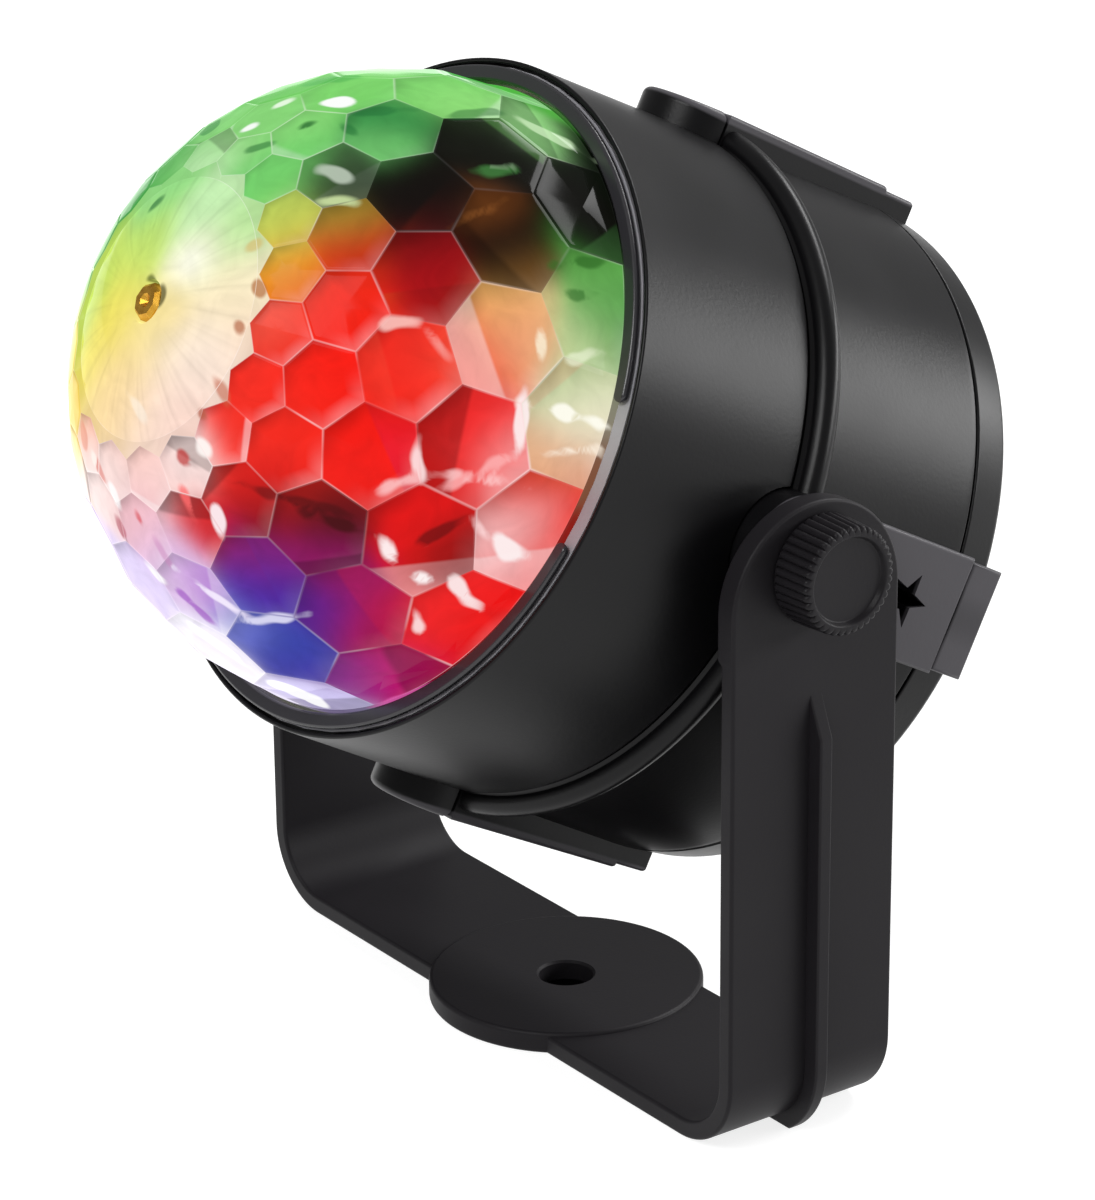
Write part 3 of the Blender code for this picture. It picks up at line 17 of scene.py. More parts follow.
import bmesh
import bpy
import numpy as np
from mathutils import Matrix, Vector


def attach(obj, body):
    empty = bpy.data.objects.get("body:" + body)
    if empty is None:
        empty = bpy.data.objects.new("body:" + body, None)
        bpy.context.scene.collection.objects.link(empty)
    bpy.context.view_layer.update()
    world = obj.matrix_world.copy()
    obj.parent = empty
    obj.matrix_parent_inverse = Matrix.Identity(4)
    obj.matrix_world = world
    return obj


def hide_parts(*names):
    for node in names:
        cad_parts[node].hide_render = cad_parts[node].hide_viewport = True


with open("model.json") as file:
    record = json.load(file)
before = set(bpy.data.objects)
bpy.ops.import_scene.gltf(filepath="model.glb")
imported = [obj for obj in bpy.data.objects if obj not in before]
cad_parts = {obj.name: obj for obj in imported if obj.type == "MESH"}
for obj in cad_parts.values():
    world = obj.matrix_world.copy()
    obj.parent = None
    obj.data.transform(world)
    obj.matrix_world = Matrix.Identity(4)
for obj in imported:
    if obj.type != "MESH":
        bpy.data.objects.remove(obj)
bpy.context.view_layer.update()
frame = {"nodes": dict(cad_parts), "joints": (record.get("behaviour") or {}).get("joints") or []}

# %% [markdown]
# ## The two benches
#
# The record says where the joints are, so the benches come from it: the head tilts about a line
# along X, and the dome spins about the head's own axis. Up on the head's bench is square to both.

# %% Benches of the bracket and the head
MM = 0.001


def joint(name):
    """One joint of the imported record."""
    return next(item for item in frame["joints"] if item["name"] == name)


def bench(origin, axes):
    """The matrix from a bench in millimetres, with its axes as rows, to the frame in metres."""
    turned = Matrix(np.transpose(axes).tolist()).to_4x4()
    return Matrix.Translation(Vector(origin)) @ turned @ Matrix.Scale(MM, 4)


pivot = np.array(joint("head_tilt")["pos_m"])
ahead = np.array(joint("dome_spin")["axis"])
across = np.array([1.0, 0.0, 0.0])
HEAD_BENCH = bench(pivot, [across, np.cross(ahead, across), ahead])
STAND_BENCH = bench((0.0, pivot[1], 0.0), np.eye(3))
PIVOT_HEIGHT = pivot[2] / MM
print("tilt axis", round(PIVOT_HEIGHT, 2), "mm up, dome lifted",
      round(math.degrees(math.asin(ahead[2])), 1), "degrees")

# %% [markdown]
# ## The camera
#
# The view was fitted to the outlines of the base disc, the rim and both pivots: a long lens from
# the right and a little above. It looks at a point on the light, from a distance along a
# direction given by how far round it stands and how far up.

# %% Camera
VIEW_ROUND = math.radians(54.06)      # from the front towards +X
VIEW_UP = math.radians(20.80)
VIEW_ROLL = math.radians(-0.52)
VIEW_DISTANCE = 555.44                # mm
VIEW_TARGET = (-2.64, 6.13, 54.04)    # mm
LENS = 131.96                         # mm, on a frame whose long side is 36 mm


def make_camera():
    """A camera that looks back along the direction (sin r cos u, -cos r cos u, sin u)."""
    level = math.cos(VIEW_UP)
    back = Vector((math.sin(VIEW_ROUND) * level, -math.cos(VIEW_ROUND) * level, math.sin(VIEW_UP)))
    camera = bpy.data.objects.new("camera", bpy.data.cameras.new("camera"))
    bpy.context.scene.collection.objects.link(camera)
    camera.data.lens = LENS
    place = (Vector(VIEW_TARGET) + back * VIEW_DISTANCE) * MM
    turned = back.to_track_quat("Z", "Y").to_matrix().to_4x4()
    camera.matrix_world = Matrix.Translation(place) @ turned @ Matrix.Rotation(VIEW_ROLL, 4, "Z")
    bpy.context.scene.camera = camera
    return camera


camera = make_camera()
print("camera", [round(value, 3) for value in camera.location])

# %% [markdown]
# ## Colours and shader nodes
#
# Finishes are written as sRGB hex values, the way a designer reads them off a sample, and one
# function turns them to the linear values that a renderer adds up. A second small function adds
# a shader node with its settings and links, so that each finish reads as a short recipe.

# %% Colour and node helpers
NOISE_LOW, NOISE_HIGH = 0.3, 0.7      # nearly all values of a noise texture lie between these


def linear(code):
    """Linear red, green and blue of an sRGB hex colour, by the sRGB curve."""
    value = np.array([int(code[at:at + 2], 16) for at in (1, 3, 5)]) / 255
    return np.where(value <= 0.04045, value / 12.92, ((value + 0.055) / 1.055) ** 2.4)


def paint(code):
    """A hex colour as a shader socket wants it, with full alpha."""
    return (*linear(code), 1.0)


def add(tree, kind, settings=None, **links):
    """A new shader node: settings are properties or input values, links are inputs fed by outputs."""
    item = tree.nodes.new("ShaderNode" + kind)
    for key, value in (settings or {}).items():
        if isinstance(key, int) or key in item.inputs:
            item.inputs[key].default_value = value
        else:
            setattr(item, key, value)
    for key, source in links.items():
        socket = int(key[1:]) if key[1:].isdigit() else key.replace("_", " ")
        tree.links.new(source, item.inputs[socket])
    return item


def blank(name):
    """A new material, with its node tree and its Principled shader."""
    material = bpy.data.materials.new(name)
    material.use_nodes = True
    return material, material.node_tree, material.node_tree.nodes["Principled BSDF"]


print("black plastic is", [round(float(value), 4) for value in linear("#1b1a1c")])

# %% [markdown]
# ## Studio
#
# A plain white sweep. The world is white to the camera, a dim room in reflections, and a soft level
# for everything else, so that the black plastic isn't washed out. The floor is white in reflections
# too, which lights the underside of the head. Three large soft lamps give the long highlights on
# the round head: one over the front, one low at the right and behind, one high behind for the rim.

# %% Floor, world and lamps
WORLD_LEVEL = 0.5
ROOM_IN_GLOSS = 0.3
FLOOR_GLOW = 0.8
FLOOR_SIZE = 6.0                      # m
# Inside this radius the floor gets a painted shadow, under the disc of the base.
PAINTED_SHADOW_RADIUS = 0.015                   # m, what the disc of the base covers
SOFTBOXES = {                         # place and size in m, power in W
    "front_softbox": ((0.25, -0.95, 1.05), (0.7, 0.5), 9.0),
    "side_softbox": ((0.56, 1.03, 0.36), (1.1, 0.28), 9.0),
    "rear_softbox": ((-0.1, 1.0, 1.0), (0.9, 0.3), 10.0),
}


def make_world():
    """White to the camera and through clear things, a dim room in reflections, soft elsewhere."""
    world = bpy.data.worlds.new("studio")
    bpy.context.scene.world = world
    world.use_nodes = True
    tree = world.node_tree
    tree.nodes.clear()
    path = add(tree, "LightPath")
    seen = add(tree, "Math", {"operation": "MAXIMUM"}, _0=path.outputs["Is Camera Ray"],
               _1=path.outputs["Is Transmission Ray"])
    soft = add(tree, "Background", {"Color": paint("#ffffff"), "Strength": WORLD_LEVEL})
    room = add(tree, "Background", {"Color": paint("#ffffff"), "Strength": ROOM_IN_GLOSS})
    white = add(tree, "Background", {"Color": paint("#ffffff"), "Strength": 1.0})
    glossy = add(tree, "MixShader", _0=path.outputs["Is Glossy Ray"], _1=soft.outputs[0],
                 _2=room.outputs[0])
    both = add(tree, "MixShader", _0=seen.outputs[0], _1=glossy.outputs[0], _2=white.outputs[0])
    add(tree, "OutputWorld", Surface=both.outputs[0])


def make_floor():
    """A pale floor that glows to the camera and in reflections, so that it meets the white world.

    The disc of the base shuts out the light, so a painted shadow makes the floor dark where its screw
    hole shows it.
    """
    material, tree, shader = blank("floor_paper")
    shader.inputs["Roughness"].default_value = 0.9
    shader.inputs["Specular IOR Level"].default_value = 0.0
    away = add(tree, "VectorMath", {"operation": "DISTANCE", 1: (0.0, pivot[1], 0.0)},
               _0=add(tree, "TexCoord").outputs["Object"])
    outside_painted_shadow = add(tree, "MapRange", {"interpolation_type": "SMOOTHSTEP", "To Max": FLOOR_GLOW,
                                        "From Min": PAINTED_SHADOW_RADIUS - MM, "From Max": PAINTED_SHADOW_RADIUS},
                     Value=away.outputs["Value"])
    tint = add(tree, "Mix", {"data_type": "RGBA", 6: paint("#050505"), 7: paint("#b9b9b9")},
               _0=outside_painted_shadow.outputs[0])
    tree.links.new(tint.outputs[2], shader.inputs["Base Color"])
    path = add(tree, "LightPath")
    seen = add(tree, "Math", {"operation": "MAXIMUM"}, _0=path.outputs["Is Camera Ray"],
               _1=path.outputs["Is Glossy Ray"])
    glow = add(tree, "Emission", {"Color": paint("#ffffff")})
    level = add(tree, "Math", {"operation": "MULTIPLY"}, _0=seen.outputs[0],
                _1=outside_painted_shadow.outputs[0])
    tree.links.new(level.outputs[0], glow.inputs["Strength"])
    both = add(tree, "AddShader", _0=shader.outputs[0], _1=glow.outputs[0])
    tree.links.new(both.outputs[0], tree.nodes["Material Output"].inputs["Surface"])
    half = FLOOR_SIZE / 2
    mesh = bpy.data.meshes.new("floor")
    mesh.from_pydata([(-half, -half, 0), (half, -half, 0), (half, half, 0), (-half, half, 0)], [],
                     [(0, 1, 2, 3)])
    mesh.materials.append(material)
    floor = bpy.data.objects.new("floor", mesh)
    bpy.context.scene.collection.objects.link(floor)


def softbox(name, place, size, power):
    """A rectangular soft lamp at a place in metres, aimed at the light."""
    lamp = bpy.data.lights.new(name, "AREA")
    lamp.shape = "RECTANGLE"
    lamp.size, lamp.size_y = size
    lamp.energy = power
    holder = bpy.data.objects.new(name, lamp)
    bpy.context.scene.collection.objects.link(holder)
    holder.location = place
    aim = Vector(VIEW_TARGET) * MM - Vector(place)
    holder.rotation_euler = aim.to_track_quat("-Z", "Y").to_euler()


make_world()
make_floor()
for name, (place, size, power) in SOFTBOXES.items():
    softbox(name, place, size, power)
print("studio of", len(bpy.data.lights), "lamps")

# %% [markdown]
# ## Surfaces from arrays
#
# A moulding is nearly always a profile that goes round an axis, or an outline with rounded edges
# that goes straight through. Both are grids of points worked out as whole arrays. Where the grid
# closes on itself the doubled points are merged, and then the faces are turned outwards.

# %% Grids, turned pieces and rounded plates
WELD = 0.0004                         # mm, points this close are one point
TURN_STEPS = 180                      # to a full turn of a shell
ROD_STEPS = 48
ROUND_STEPS = 7                       # points on a rounding


def grid_faces(rows, columns, close_rows=False, close_columns=False):
    """Quads between the points of a grid numbered row by row; a closed side joins to its start."""
    number = np.arange(rows * columns).reshape(rows, columns)
    if close_rows:
        number = np.vstack([number, number[:1]])
    if close_columns:
        number = np.hstack([number, number[:, :1]])
    corners = [number[:-1, :-1], number[:-1, 1:], number[1:, 1:], number[1:, :-1]]
    return np.stack(corners, axis=-1).reshape(-1, 4).tolist()


def new_piece(name, points, faces, order=(0, 1, 2)):
    """An object from points in millimetres, its axes taken in the given order."""
    mesh = bpy.data.meshes.new(name)
    mesh.from_pydata(np.asarray(points).reshape(-1, 3)[:, order].tolist(), [], faces)
    shape = bmesh.new()
    shape.from_mesh(mesh)
    bmesh.ops.remove_doubles(shape, verts=shape.verts, dist=WELD)
    bmesh.ops.recalc_face_normals(shape, faces=shape.faces)
    shape.to_mesh(mesh)
    shape.free()
    piece = bpy.data.objects.new(name, mesh)
    bpy.context.scene.collection.objects.link(piece)
    return piece


def filleted(corners, radii, steps=ROUND_STEPS):
    """An outline with its corners rounded.

    A rounding of radius r touches both sides at r / tan(half the corner's angle) from the corner.
    Its points turn evenly about a centre on the bisector, r / sin(half the angle) from the corner.
    """
    corners = np.asarray(corners, float)
    points = []
    previous, following = np.roll(corners, 1, 0), np.roll(corners, -1, 0)
    for before, corner, after, radius in zip(previous, corners, following, radii):
        if not radius:
            points.append(corner[None])
            continue
        one = (before - corner) / np.linalg.norm(before - corner)
        two = (after - corner) / np.linalg.norm(after - corner)
        half = math.acos(np.clip(one @ two, -1, 1)) / 2
        centre = corner + (one + two) / np.linalg.norm(one + two) * radius / math.sin(half)
        start = corner + one * radius / math.tan(half) - centre
        end = corner + two * radius / math.tan(half) - centre
        whole = math.pi - 2 * half
        share = np.linspace(0, 1, steps)[:, None]
        points.append(centre + (np.sin((1 - share) * whole) * start + np.sin(share * whole) * end)
                      / math.sin(whole))
    points = np.concatenate(points)
    return points[np.linalg.norm(points - np.roll(points, 1, 0), axis=1) > WELD]


def arc(centre, radius, start, end, steps):
    """Points of an arc: centre + radius (cos a, sin a) for even steps of the angle a."""
    angle = np.linspace(start, end, steps)
    return np.asarray(centre) + radius * np.stack([np.cos(angle), np.sin(angle)], axis=1)


def turned(name, profile, steps=TURN_STEPS):
    """A turned piece: (radius, height) of the profile goes to (radius sin a, radius cos a, height).

    A profile that starts and ends on the axis is a solid, and any other one closes into a ring.
    """
    radius, height = np.asarray(profile, float).T
    angle = np.arange(steps)[:, None] * math.tau / steps
    points = np.stack([radius * np.sin(angle), radius * np.cos(angle), height + 0 * angle], axis=-1)
    closed = radius[0] > 0 or radius[-1] > 0
    return new_piece(name, points, grid_faces(steps, len(radius), True, closed))


def rod(name, radius, low, high, at=(0.0, 0.0)):
    """A plain round rod, for a screw post or as a cutter for a hole."""
    piece = turned(name, [(0, low), (radius, low), (radius, high), (0, high)], ROD_STEPS)
    piece.data.transform(Matrix.Translation((*at, 0)))
    return piece


def plate(name, outline, low, high, top=0.0, bottom=0.0, order=(0, 1, 2)):
    """An outline carried from low to high, its edges rounded with the radii top and bottom.

    At an angle a round an edge of radius r, the outline is drawn in by r (1 - cos a) along its
    mitred outward direction, and lies r (1 - sin a) inside the face. A negative radius flares.
    """
    outline = np.asarray(outline, float)
    along = np.roll(outline, -1, 0) - outline
    along /= np.linalg.norm(along, axis=1)[:, None]
    x, y = outline.T
    turns = np.sign(np.sum(x * np.roll(y, -1) - y * np.roll(x, -1)))
    out = turns * np.stack([along[:, 1], -along[:, 0]], axis=1)
    before = np.roll(out, 1, 0)
    mitre = (out + before) / (1 + np.sum(out * before, axis=1))[:, None]
    turn = np.linspace(0, math.pi / 2, ROUND_STEPS)
    inset = np.concatenate([bottom * (1 - np.cos(turn[::-1])), top * (1 - np.cos(turn))])
    height = np.concatenate([low + abs(bottom) * (1 - np.sin(turn[::-1])),
                             high - abs(top) * (1 - np.sin(turn))])
    flat = outline - mitre * inset[:, None, None]
    rows, count = flat.shape[:2]
    points = np.concatenate([flat, np.broadcast_to(height[:, None, None], (rows, count, 1))], axis=2)
    faces = grid_faces(rows, count, close_columns=True)
    faces += [list(range(count)), list(range((rows - 1) * count, rows * count))]
    return new_piece(name, points, faces, order)


def fuse(target, tools, operation="UNION"):
    """Joins the tools to the target, or cuts them out of it, and uses them up."""
    for tool in tools:
        step = target.modifiers.new(tool.name, "BOOLEAN")
        step.operation = operation
        step.object = tool
    view = bpy.context.evaluated_depsgraph_get()
    target.data = bpy.data.meshes.new_from_object(target.evaluated_get(view))
    target.modifiers.clear()
    for tool in tools:
        bpy.data.objects.remove(tool)
    return target


def bundle(tools):
    """Several tools that don't touch each other as one object, so that one step uses them all."""
    shape = bmesh.new()
    for tool in tools:
        shape.from_mesh(tool.data)
    shape.to_mesh(tools[0].data)
    shape.free()
    for tool in tools[1:]:
        bpy.data.objects.remove(tool)
    return tools[0]


def spun(piece, angle, axis="Z"):
    """Turns a piece's mesh about an axis of its bench."""
    piece.data.transform(Matrix.Rotation(angle, 4, axis))
    return piece


def finish(piece, material, place, body, node, sharp=32.0):
    """Puts a piece in the frame: its finish, its smooth shading, and the CAD node it stands for."""
    piece.data.transform(place)
    piece.data.materials.clear()
    piece.data.materials.append(material)
    piece.data.shade_smooth()
    piece.data.set_sharp_from_angle(angle=math.radians(sharp))
    level = piece.modifiers.new("flat_faces_first", "WEIGHTED_NORMAL")
    level.keep_sharp = True
    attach(piece, body)
    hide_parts(node)
    print(piece.name, "has", len(piece.data.polygons), "faces")
    return piece


# %% [markdown]
# ## Moulded black plastic
#
# The bracket and the head are ABS, injection-moulded in tools with a fine spark-eroded grain. That
# gives the eye a satin black: a broad soft highlight, a hair-fine grain in it, and slight
# differences in gloss where the melt cooled unevenly. Grain this fine hardly shows in the
# picture, so it is drawn as coarse as it needs to show in a highlight.

# %% Finish of moulded plastic
MELT_SIZE = 22.0                      # mm, how far apart the gloss differs
GRAIN_STRENGTH = 0.35
PAD_SHEEN_START = 45.9                 # mm from the head's axis, just under the raised pads' faces
PAD_SHEEN_FULL = 46.3


def moulded(name, dark, light, gloss, grain=0.5, relief=0.03, specular=0.5):
    """Moulded plastic between two near colours, its roughness between the two values of gloss.

    The grain and its relief are in millimetres.
    """
    material, tree, shader = blank(name)
    place = add(tree, "TexCoord").outputs["Object"]
    melt = add(tree, "TexNoise", {"Scale": 1 / (MELT_SIZE * MM), "Detail": 3.0}, Vector=place)
    pits = add(tree, "TexNoise", {"Scale": 1 / (grain * MM), "Detail": 2.0}, Vector=place)
    tint = add(tree, "Mix", {"data_type": "RGBA", 6: paint(dark), 7: paint(light)}, _0=melt.outputs[0])
    satin = add(tree, "MapRange", {"From Min": NOISE_LOW, "From Max": NOISE_HIGH, "To Min": gloss[0],
                                   "To Max": gloss[1]}, Value=melt.outputs[0])
    bump = add(tree, "Bump", {"Strength": GRAIN_STRENGTH, "Distance": relief * MM},
               Height=pits.outputs[0])
    shader.inputs["Specular IOR Level"].default_value = specular
    tree.links.new(tint.outputs[2], shader.inputs["Base Color"])
    tree.links.new(satin.outputs[0], shader.inputs["Roughness"])
    tree.links.new(bump.outputs[0], shader.inputs["Normal"])
    return material


def pads_painted_sheen(material, code):
    """Painted sheen: a paler base colour on the raised pads' faces, for the light that their matt grain
    catches; they are the farthest from the axis.

    The distance from the axis is the length of (place - pivot) x axis.
    """
    tree = material.node_tree
    shader = tree.nodes["Principled BSDF"]
    place = add(tree, "TexCoord").outputs["Object"]
    arm = add(tree, "VectorMath", {"operation": "SUBTRACT", 1: tuple(pivot)}, _0=place)
    cross = add(tree, "VectorMath", {"operation": "CROSS_PRODUCT", 1: tuple(ahead)}, _0=arm.outputs[0])
    reach = add(tree, "VectorMath", {"operation": "LENGTH"}, _0=cross.outputs[0])
    face = add(tree, "MapRange", {"interpolation_type": "SMOOTHSTEP",
                                  "From Min": PAD_SHEEN_START * MM, "From Max": PAD_SHEEN_FULL * MM},
               Value=reach.outputs["Value"])
    before = shader.inputs["Base Color"].links[0].from_socket
    tint = add(tree, "Mix", {"data_type": "RGBA", 7: paint(code)}, _0=face.outputs[0], _6=before)
    tree.links.new(tint.outputs[2], shader.inputs["Base Color"])


# The bracket's ABS looks a shade paler and more matt than the head's, whose highlights are
# narrower, and the knobs lie between the two.
bracket_abs = moulded("bracket_abs", "#1b191c", "#201e21", (0.45, 0.55), specular=0.16)
housing_abs = moulded("housing_abs", "#0b0b0c", "#100f11", (0.3, 0.36), specular=0.2)
knob_abs = moulded("knob_abs", "#19171a", "#1e1c1f", (0.36, 0.46), specular=0.16)
# The raised pads' faces get a paler base colour, a painted sheen.
pads_painted_sheen(housing_abs, "#504e52")
print("plastics", bracket_abs.name, housing_abs.name, knob_abs.name)

# %% [markdown]
# ## The U bracket
#
# On the real light this is one moulding: a strap bent up at both ends, round at the tips, thicker
# inside each ear where the head bears on it, with a disc in the middle of the base and a rib down
# the outside of each ear. It could be extruded along a curve, but the round tips need their edge
# rounding to run round the end. So the strap is drawn flat first, with the rounded edge carried
# along its outline, and every point is then bent round the two corners by one formula.

# %% Bracket
STRAP_HALF = 12.45
EAR_OUTER = 50.0
EAR_THICKNESS = 2.35
BASE_THICKNESS = 2.45
BEND_RADIUS = 10.0
BOSS_THICKNESS = 0.75                 # thicker inner side of the ear, from below the tilt axis up
BOSS_DROP = 10.1
TOP_ARC_DROP = 4.3                    # the round tip is struck from below the tilt axis
STRAP_EDGE = 0.45
DISC_RADIUS = 17.85
DISC_THICKNESS = 2.9
DISC_EDGE = 0.55
BASE_HOLE_RADIUS = 3.55
HOLE_FLARE = 0.3
RIB_HALF = 0.925
RIB_HEIGHT = 2.15
RIB_EDGE = 0.3
RIB_TOP_DROP = 15.6
RIB_RAMP = 5.3
STUD_HOLE_RADIUS = 2.7
STATIONS = (12, 28, 10, 8, 4)         # rings along the base, bend, ear, ramp and boss
TIP_STATIONS = 40
RIB_ARC_STEPS = 20
BITE = 0.6                            # how deep a joined shape sinks into its neighbour
OVERRUN = 1.0                         # how far a cutter stands past what it cuts

bend_start = EAR_OUTER - BEND_RADIUS
ear_start = bend_start + BEND_RADIUS * math.pi / 2


def along_strap(height):
    """How far along the flat strap a height on the ear is, from the middle of the base."""
    return ear_start + height - BEND_RADIUS


def bent(along, depth):
    """Where a point of the flat strap ends up, for a depth in from the strap's outer face.

    Up to the bend x grows with the distance and z is the depth. In the bend the point turns about
    a centre one bend radius above the outer face, and past it z grows with the distance.
    """
    distance = np.abs(along)
    turn = np.clip((distance - bend_start) / BEND_RADIUS, 0, math.pi / 2)
    beyond = np.maximum(distance - ear_start, 0)
    x = np.minimum(distance, bend_start) + (BEND_RADIUS - depth) * np.sin(turn)
    z = BEND_RADIUS - (BEND_RADIUS - depth) * np.cos(turn) + beyond
    return np.sign(along) * x, z


def strap_thickness(along):
    """Thickness of the strap: base, then ear, then the boss with an even ramp to it."""
    distance = np.abs(along)
    foot = along_strap(PIVOT_HEIGHT - BOSS_DROP)
    ramp = np.clip((distance - foot) / BOSS_THICKNESS, 0, 1)
    plain = np.interp(distance, [bend_start, ear_start], [BASE_THICKNESS, EAR_THICKNESS])
    return plain + BOSS_THICKNESS * ramp ** 2 * (3 - 2 * ramp)


def make_strap():
    """The strap as rings round its section, one at each station from tip to tip."""
    foot = along_strap(PIVOT_HEIGHT - BOSS_DROP)
    arc_start = along_strap(PIVOT_HEIGHT - TOP_ARC_DROP)
    marks = [0, bend_start, ear_start, foot, foot + BOSS_THICKNESS, arc_start]
    straight = np.concatenate([np.linspace(start, end, count, endpoint=False)
                               for start, end, count in zip(marks, marks[1:], STATIONS)])
    tip = np.linspace(0, math.pi / 2, TIP_STATIONS)
    zero, one = np.zeros_like(straight), np.ones_like(straight)
    along = np.concatenate([straight, arc_start + STRAP_HALF * np.sin(tip)])
    half = np.concatenate([STRAP_HALF * one, STRAP_HALF * np.cos(tip)])
    out_along = np.concatenate([zero, np.sin(tip)])
    out_across = np.concatenate([one, np.cos(tip)])
    along, out_along = (np.concatenate([-values[:0:-1], values]) for values in (along, out_along))
    half, out_across = (np.concatenate([values[:0:-1], values]) for values in (half, out_across))
    turn = np.linspace(0, math.pi / 2, ROUND_STEPS)
    inset = STRAP_EDGE * np.concatenate([1 - np.sin(turn), 1 - np.cos(turn)])
    depth = STRAP_EDGE * np.concatenate([1 - np.cos(turn), np.sin(turn) - 1])
    from_inside = np.repeat([0.0, 1.0], ROUND_STEPS)
    place = along[:, None] - out_along[:, None] * inset
    width = half[:, None] - out_across[:, None] * inset
    x, z = bent(place, depth + from_inside * strap_thickness(place))
    right = np.stack([x, width, z], axis=-1)
    left = np.stack([x, -width, z], axis=-1)[:, ::-1]
    ring = np.concatenate([right, left], axis=1)
    return new_piece("bracket_moulding", ring, grid_faces(*ring.shape[:2], close_columns=True))


def make_rib(name):
    """The rib outside an ear: a ramp at its top, and round the bend down to the table."""
    crest = BEND_RADIUS + RIB_HEIGHT
    top = PIVOT_HEIGHT - RIB_TOP_DROP
    centre = (bend_start, BEND_RADIUS)
    outline = np.concatenate([
        [(EAR_OUTER - BITE, top), (EAR_OUTER, top), (EAR_OUTER + RIB_HEIGHT, top - RIB_RAMP)],
        arc(centre, crest, 0, -math.asin(BEND_RADIUS / crest), RIB_ARC_STEPS),
        [(bend_start + BITE, 0)],
        arc(centre, BEND_RADIUS - BITE, -math.pi / 2, 0, RIB_ARC_STEPS)])
    return plate(name, outline, -RIB_HALF, RIB_HALF, RIB_EDGE, RIB_EDGE, order=(0, 2, 1))


def flared_hole(radius, low, high):
    """A cutter whose mouths open a little, so that the hole's edges are eased."""
    wide = radius + HOLE_FLARE
    profile = [(0, low - OVERRUN), (wide, low - OVERRUN), (wide, low), (radius, low + HOLE_FLARE),
               (radius, high - HOLE_FLARE), (wide, high), (wide, high + OVERRUN), (0, high + OVERRUN)]
    return turned("hole", profile, ROD_STEPS)


strap = make_strap()
disc_corners = [(0, 0), (DISC_RADIUS, 0), (DISC_RADIUS, DISC_THICKNESS), (0, DISC_THICKNESS)]
disc = turned("disc", filleted(disc_corners, [0, DISC_EDGE, DISC_EDGE, 0]))
fuse(strap, [disc, make_rib("rib_right"), spun(make_rib("rib_left"), math.pi)])
reach = EAR_OUTER + OVERRUN
stud_hole = rod("stud_hole", STUD_HOLE_RADIUS, -reach, reach)
spun(stud_hole, math.pi / 2, "Y").data.transform(Matrix.Translation((0, 0, PIVOT_HEIGHT)))
fuse(strap, [stud_hole, flared_hole(BASE_HOLE_RADIUS, 0, DISC_THICKNESS)], "DIFFERENCE")
finish(strap, bracket_abs, STAND_BENCH, "bracket", "bracket")

# %% [markdown]
# ## The head's shells
#
# The housing is three mouldings one behind the other, on one even taper from the rim to the rear.
# They could be cut from one solid, but each is made by itself, as it is moulded: a tube turned
# from a profile with each corner rounded as the tool would leave it, and raised pads joined on as
# rounded plates. This step has the sizes that they share, and the pads.

# %% Sizes of the head
REAR_RADIUS = 44.4
RIM_RADIUS = 42.5
RIM_AHEAD = 28.0
REAR_BEHIND = 33.4
SHELL_WALL = 1.8
SEAM_END = 1.6                        # rear end of the front shell
SEAM_AHEAD = 1.3                      # front end of the rear shell
REAR_SHELL_END = -27.3
COVER_FRONT = -27.6
RIM_LIP = 0.6
LIP_EDGE = 0.28
REBATE_FLOOR = 26.9
SEAM_EDGE = 0.45
PAD_HALF = 7.45
PAD_REACH = 46.6
PAD_ROOT = 41.66
PAD_EDGE = 0.5
PAD_TURN = math.pi / 2                # from one pad to the next
NOSE_STEPS = 42
SHELL_EDGE = 0.3                      # rounding of the mouldings' outer edges
HOUSING_POST_CIRCLE = 38.2
HOUSING_POST_PHASE = 45.0             # degrees
FRONT_POST_RADIUS = 3.0
REAR_POST_RADIUS = 3.7
REAR_POST_LENGTH = 7.0
FRONT_POST_END = 22.3
SCREW_HOLE_RADIUS = 1.5
bore_radius = RIM_RADIUS - SHELL_WALL


def head_radius(place):
    """Outside of the tapered head: even growth from the rim to the rear."""
    return RIM_RADIUS + (REAR_RADIUS - RIM_RADIUS) * (RIM_AHEAD - place) / (RIM_AHEAD + REAR_BEHIND)


def round_places(count, circle, phase):
    """Places spaced evenly round a circle, the first at the phase from the top towards +X."""
    angle = math.radians(phase) + np.arange(count) * math.tau / count
    return np.stack([circle * np.sin(angle), circle * np.cos(angle)], axis=1)


def tilt_rod(name, radius, inner, outer):
    """A rod along the tilt axis."""
    return spun(rod(name, radius, inner, outer), math.pi / 2, "Y")


def pad(side, low, high, half=PAD_HALF, reach=PAD_REACH, edge=PAD_EDGE):
    """A raised pad, at quarter turns from the top towards +X."""
    outline = [(-half, low), (half, low), (half, high), (-half, high)]
    block = plate("pad", outline, PAD_ROOT, reach, top=edge, order=(0, 2, 1))
    return spun(block, -side * PAD_TURN)


def nosed_pad(side, low, edge=PAD_EDGE):
    """A raised pad with a round nose about the tilt axis, or the part of the nose past its start."""
    start = math.asin(max(low, 0) / PAD_HALF)
    outline = arc((0, 0), PAD_HALF, start, math.pi - start, NOSE_STEPS)
    if low < 0:
        outline = np.concatenate([[(PAD_HALF, low)], outline, [(-PAD_HALF, low)]])
    block = plate("nose", outline, PAD_ROOT, PAD_REACH, top=edge, order=(0, 2, 1))
    return spun(block, -side * PAD_TURN)


print("head tapers from a radius of", REAR_RADIUS, "mm behind to", RIM_RADIUS, "mm at the rim")

# %% [markdown]
# ## The front shell
#
# A tapered tube with a thin lip at its rim, where the ring lies, and a tongue over and under that
# carries the raised pads on to a round nose. The noses could be cut back from plain plates, but a
# plate drawn with a round end keeps its rounded edge right round. The tube is notched for the
# noses of the two side pads, which belong to the middle shell.

# %% Front shell
TONGUE_EDGE = 1.0
NOTCH_GAP = 0.3


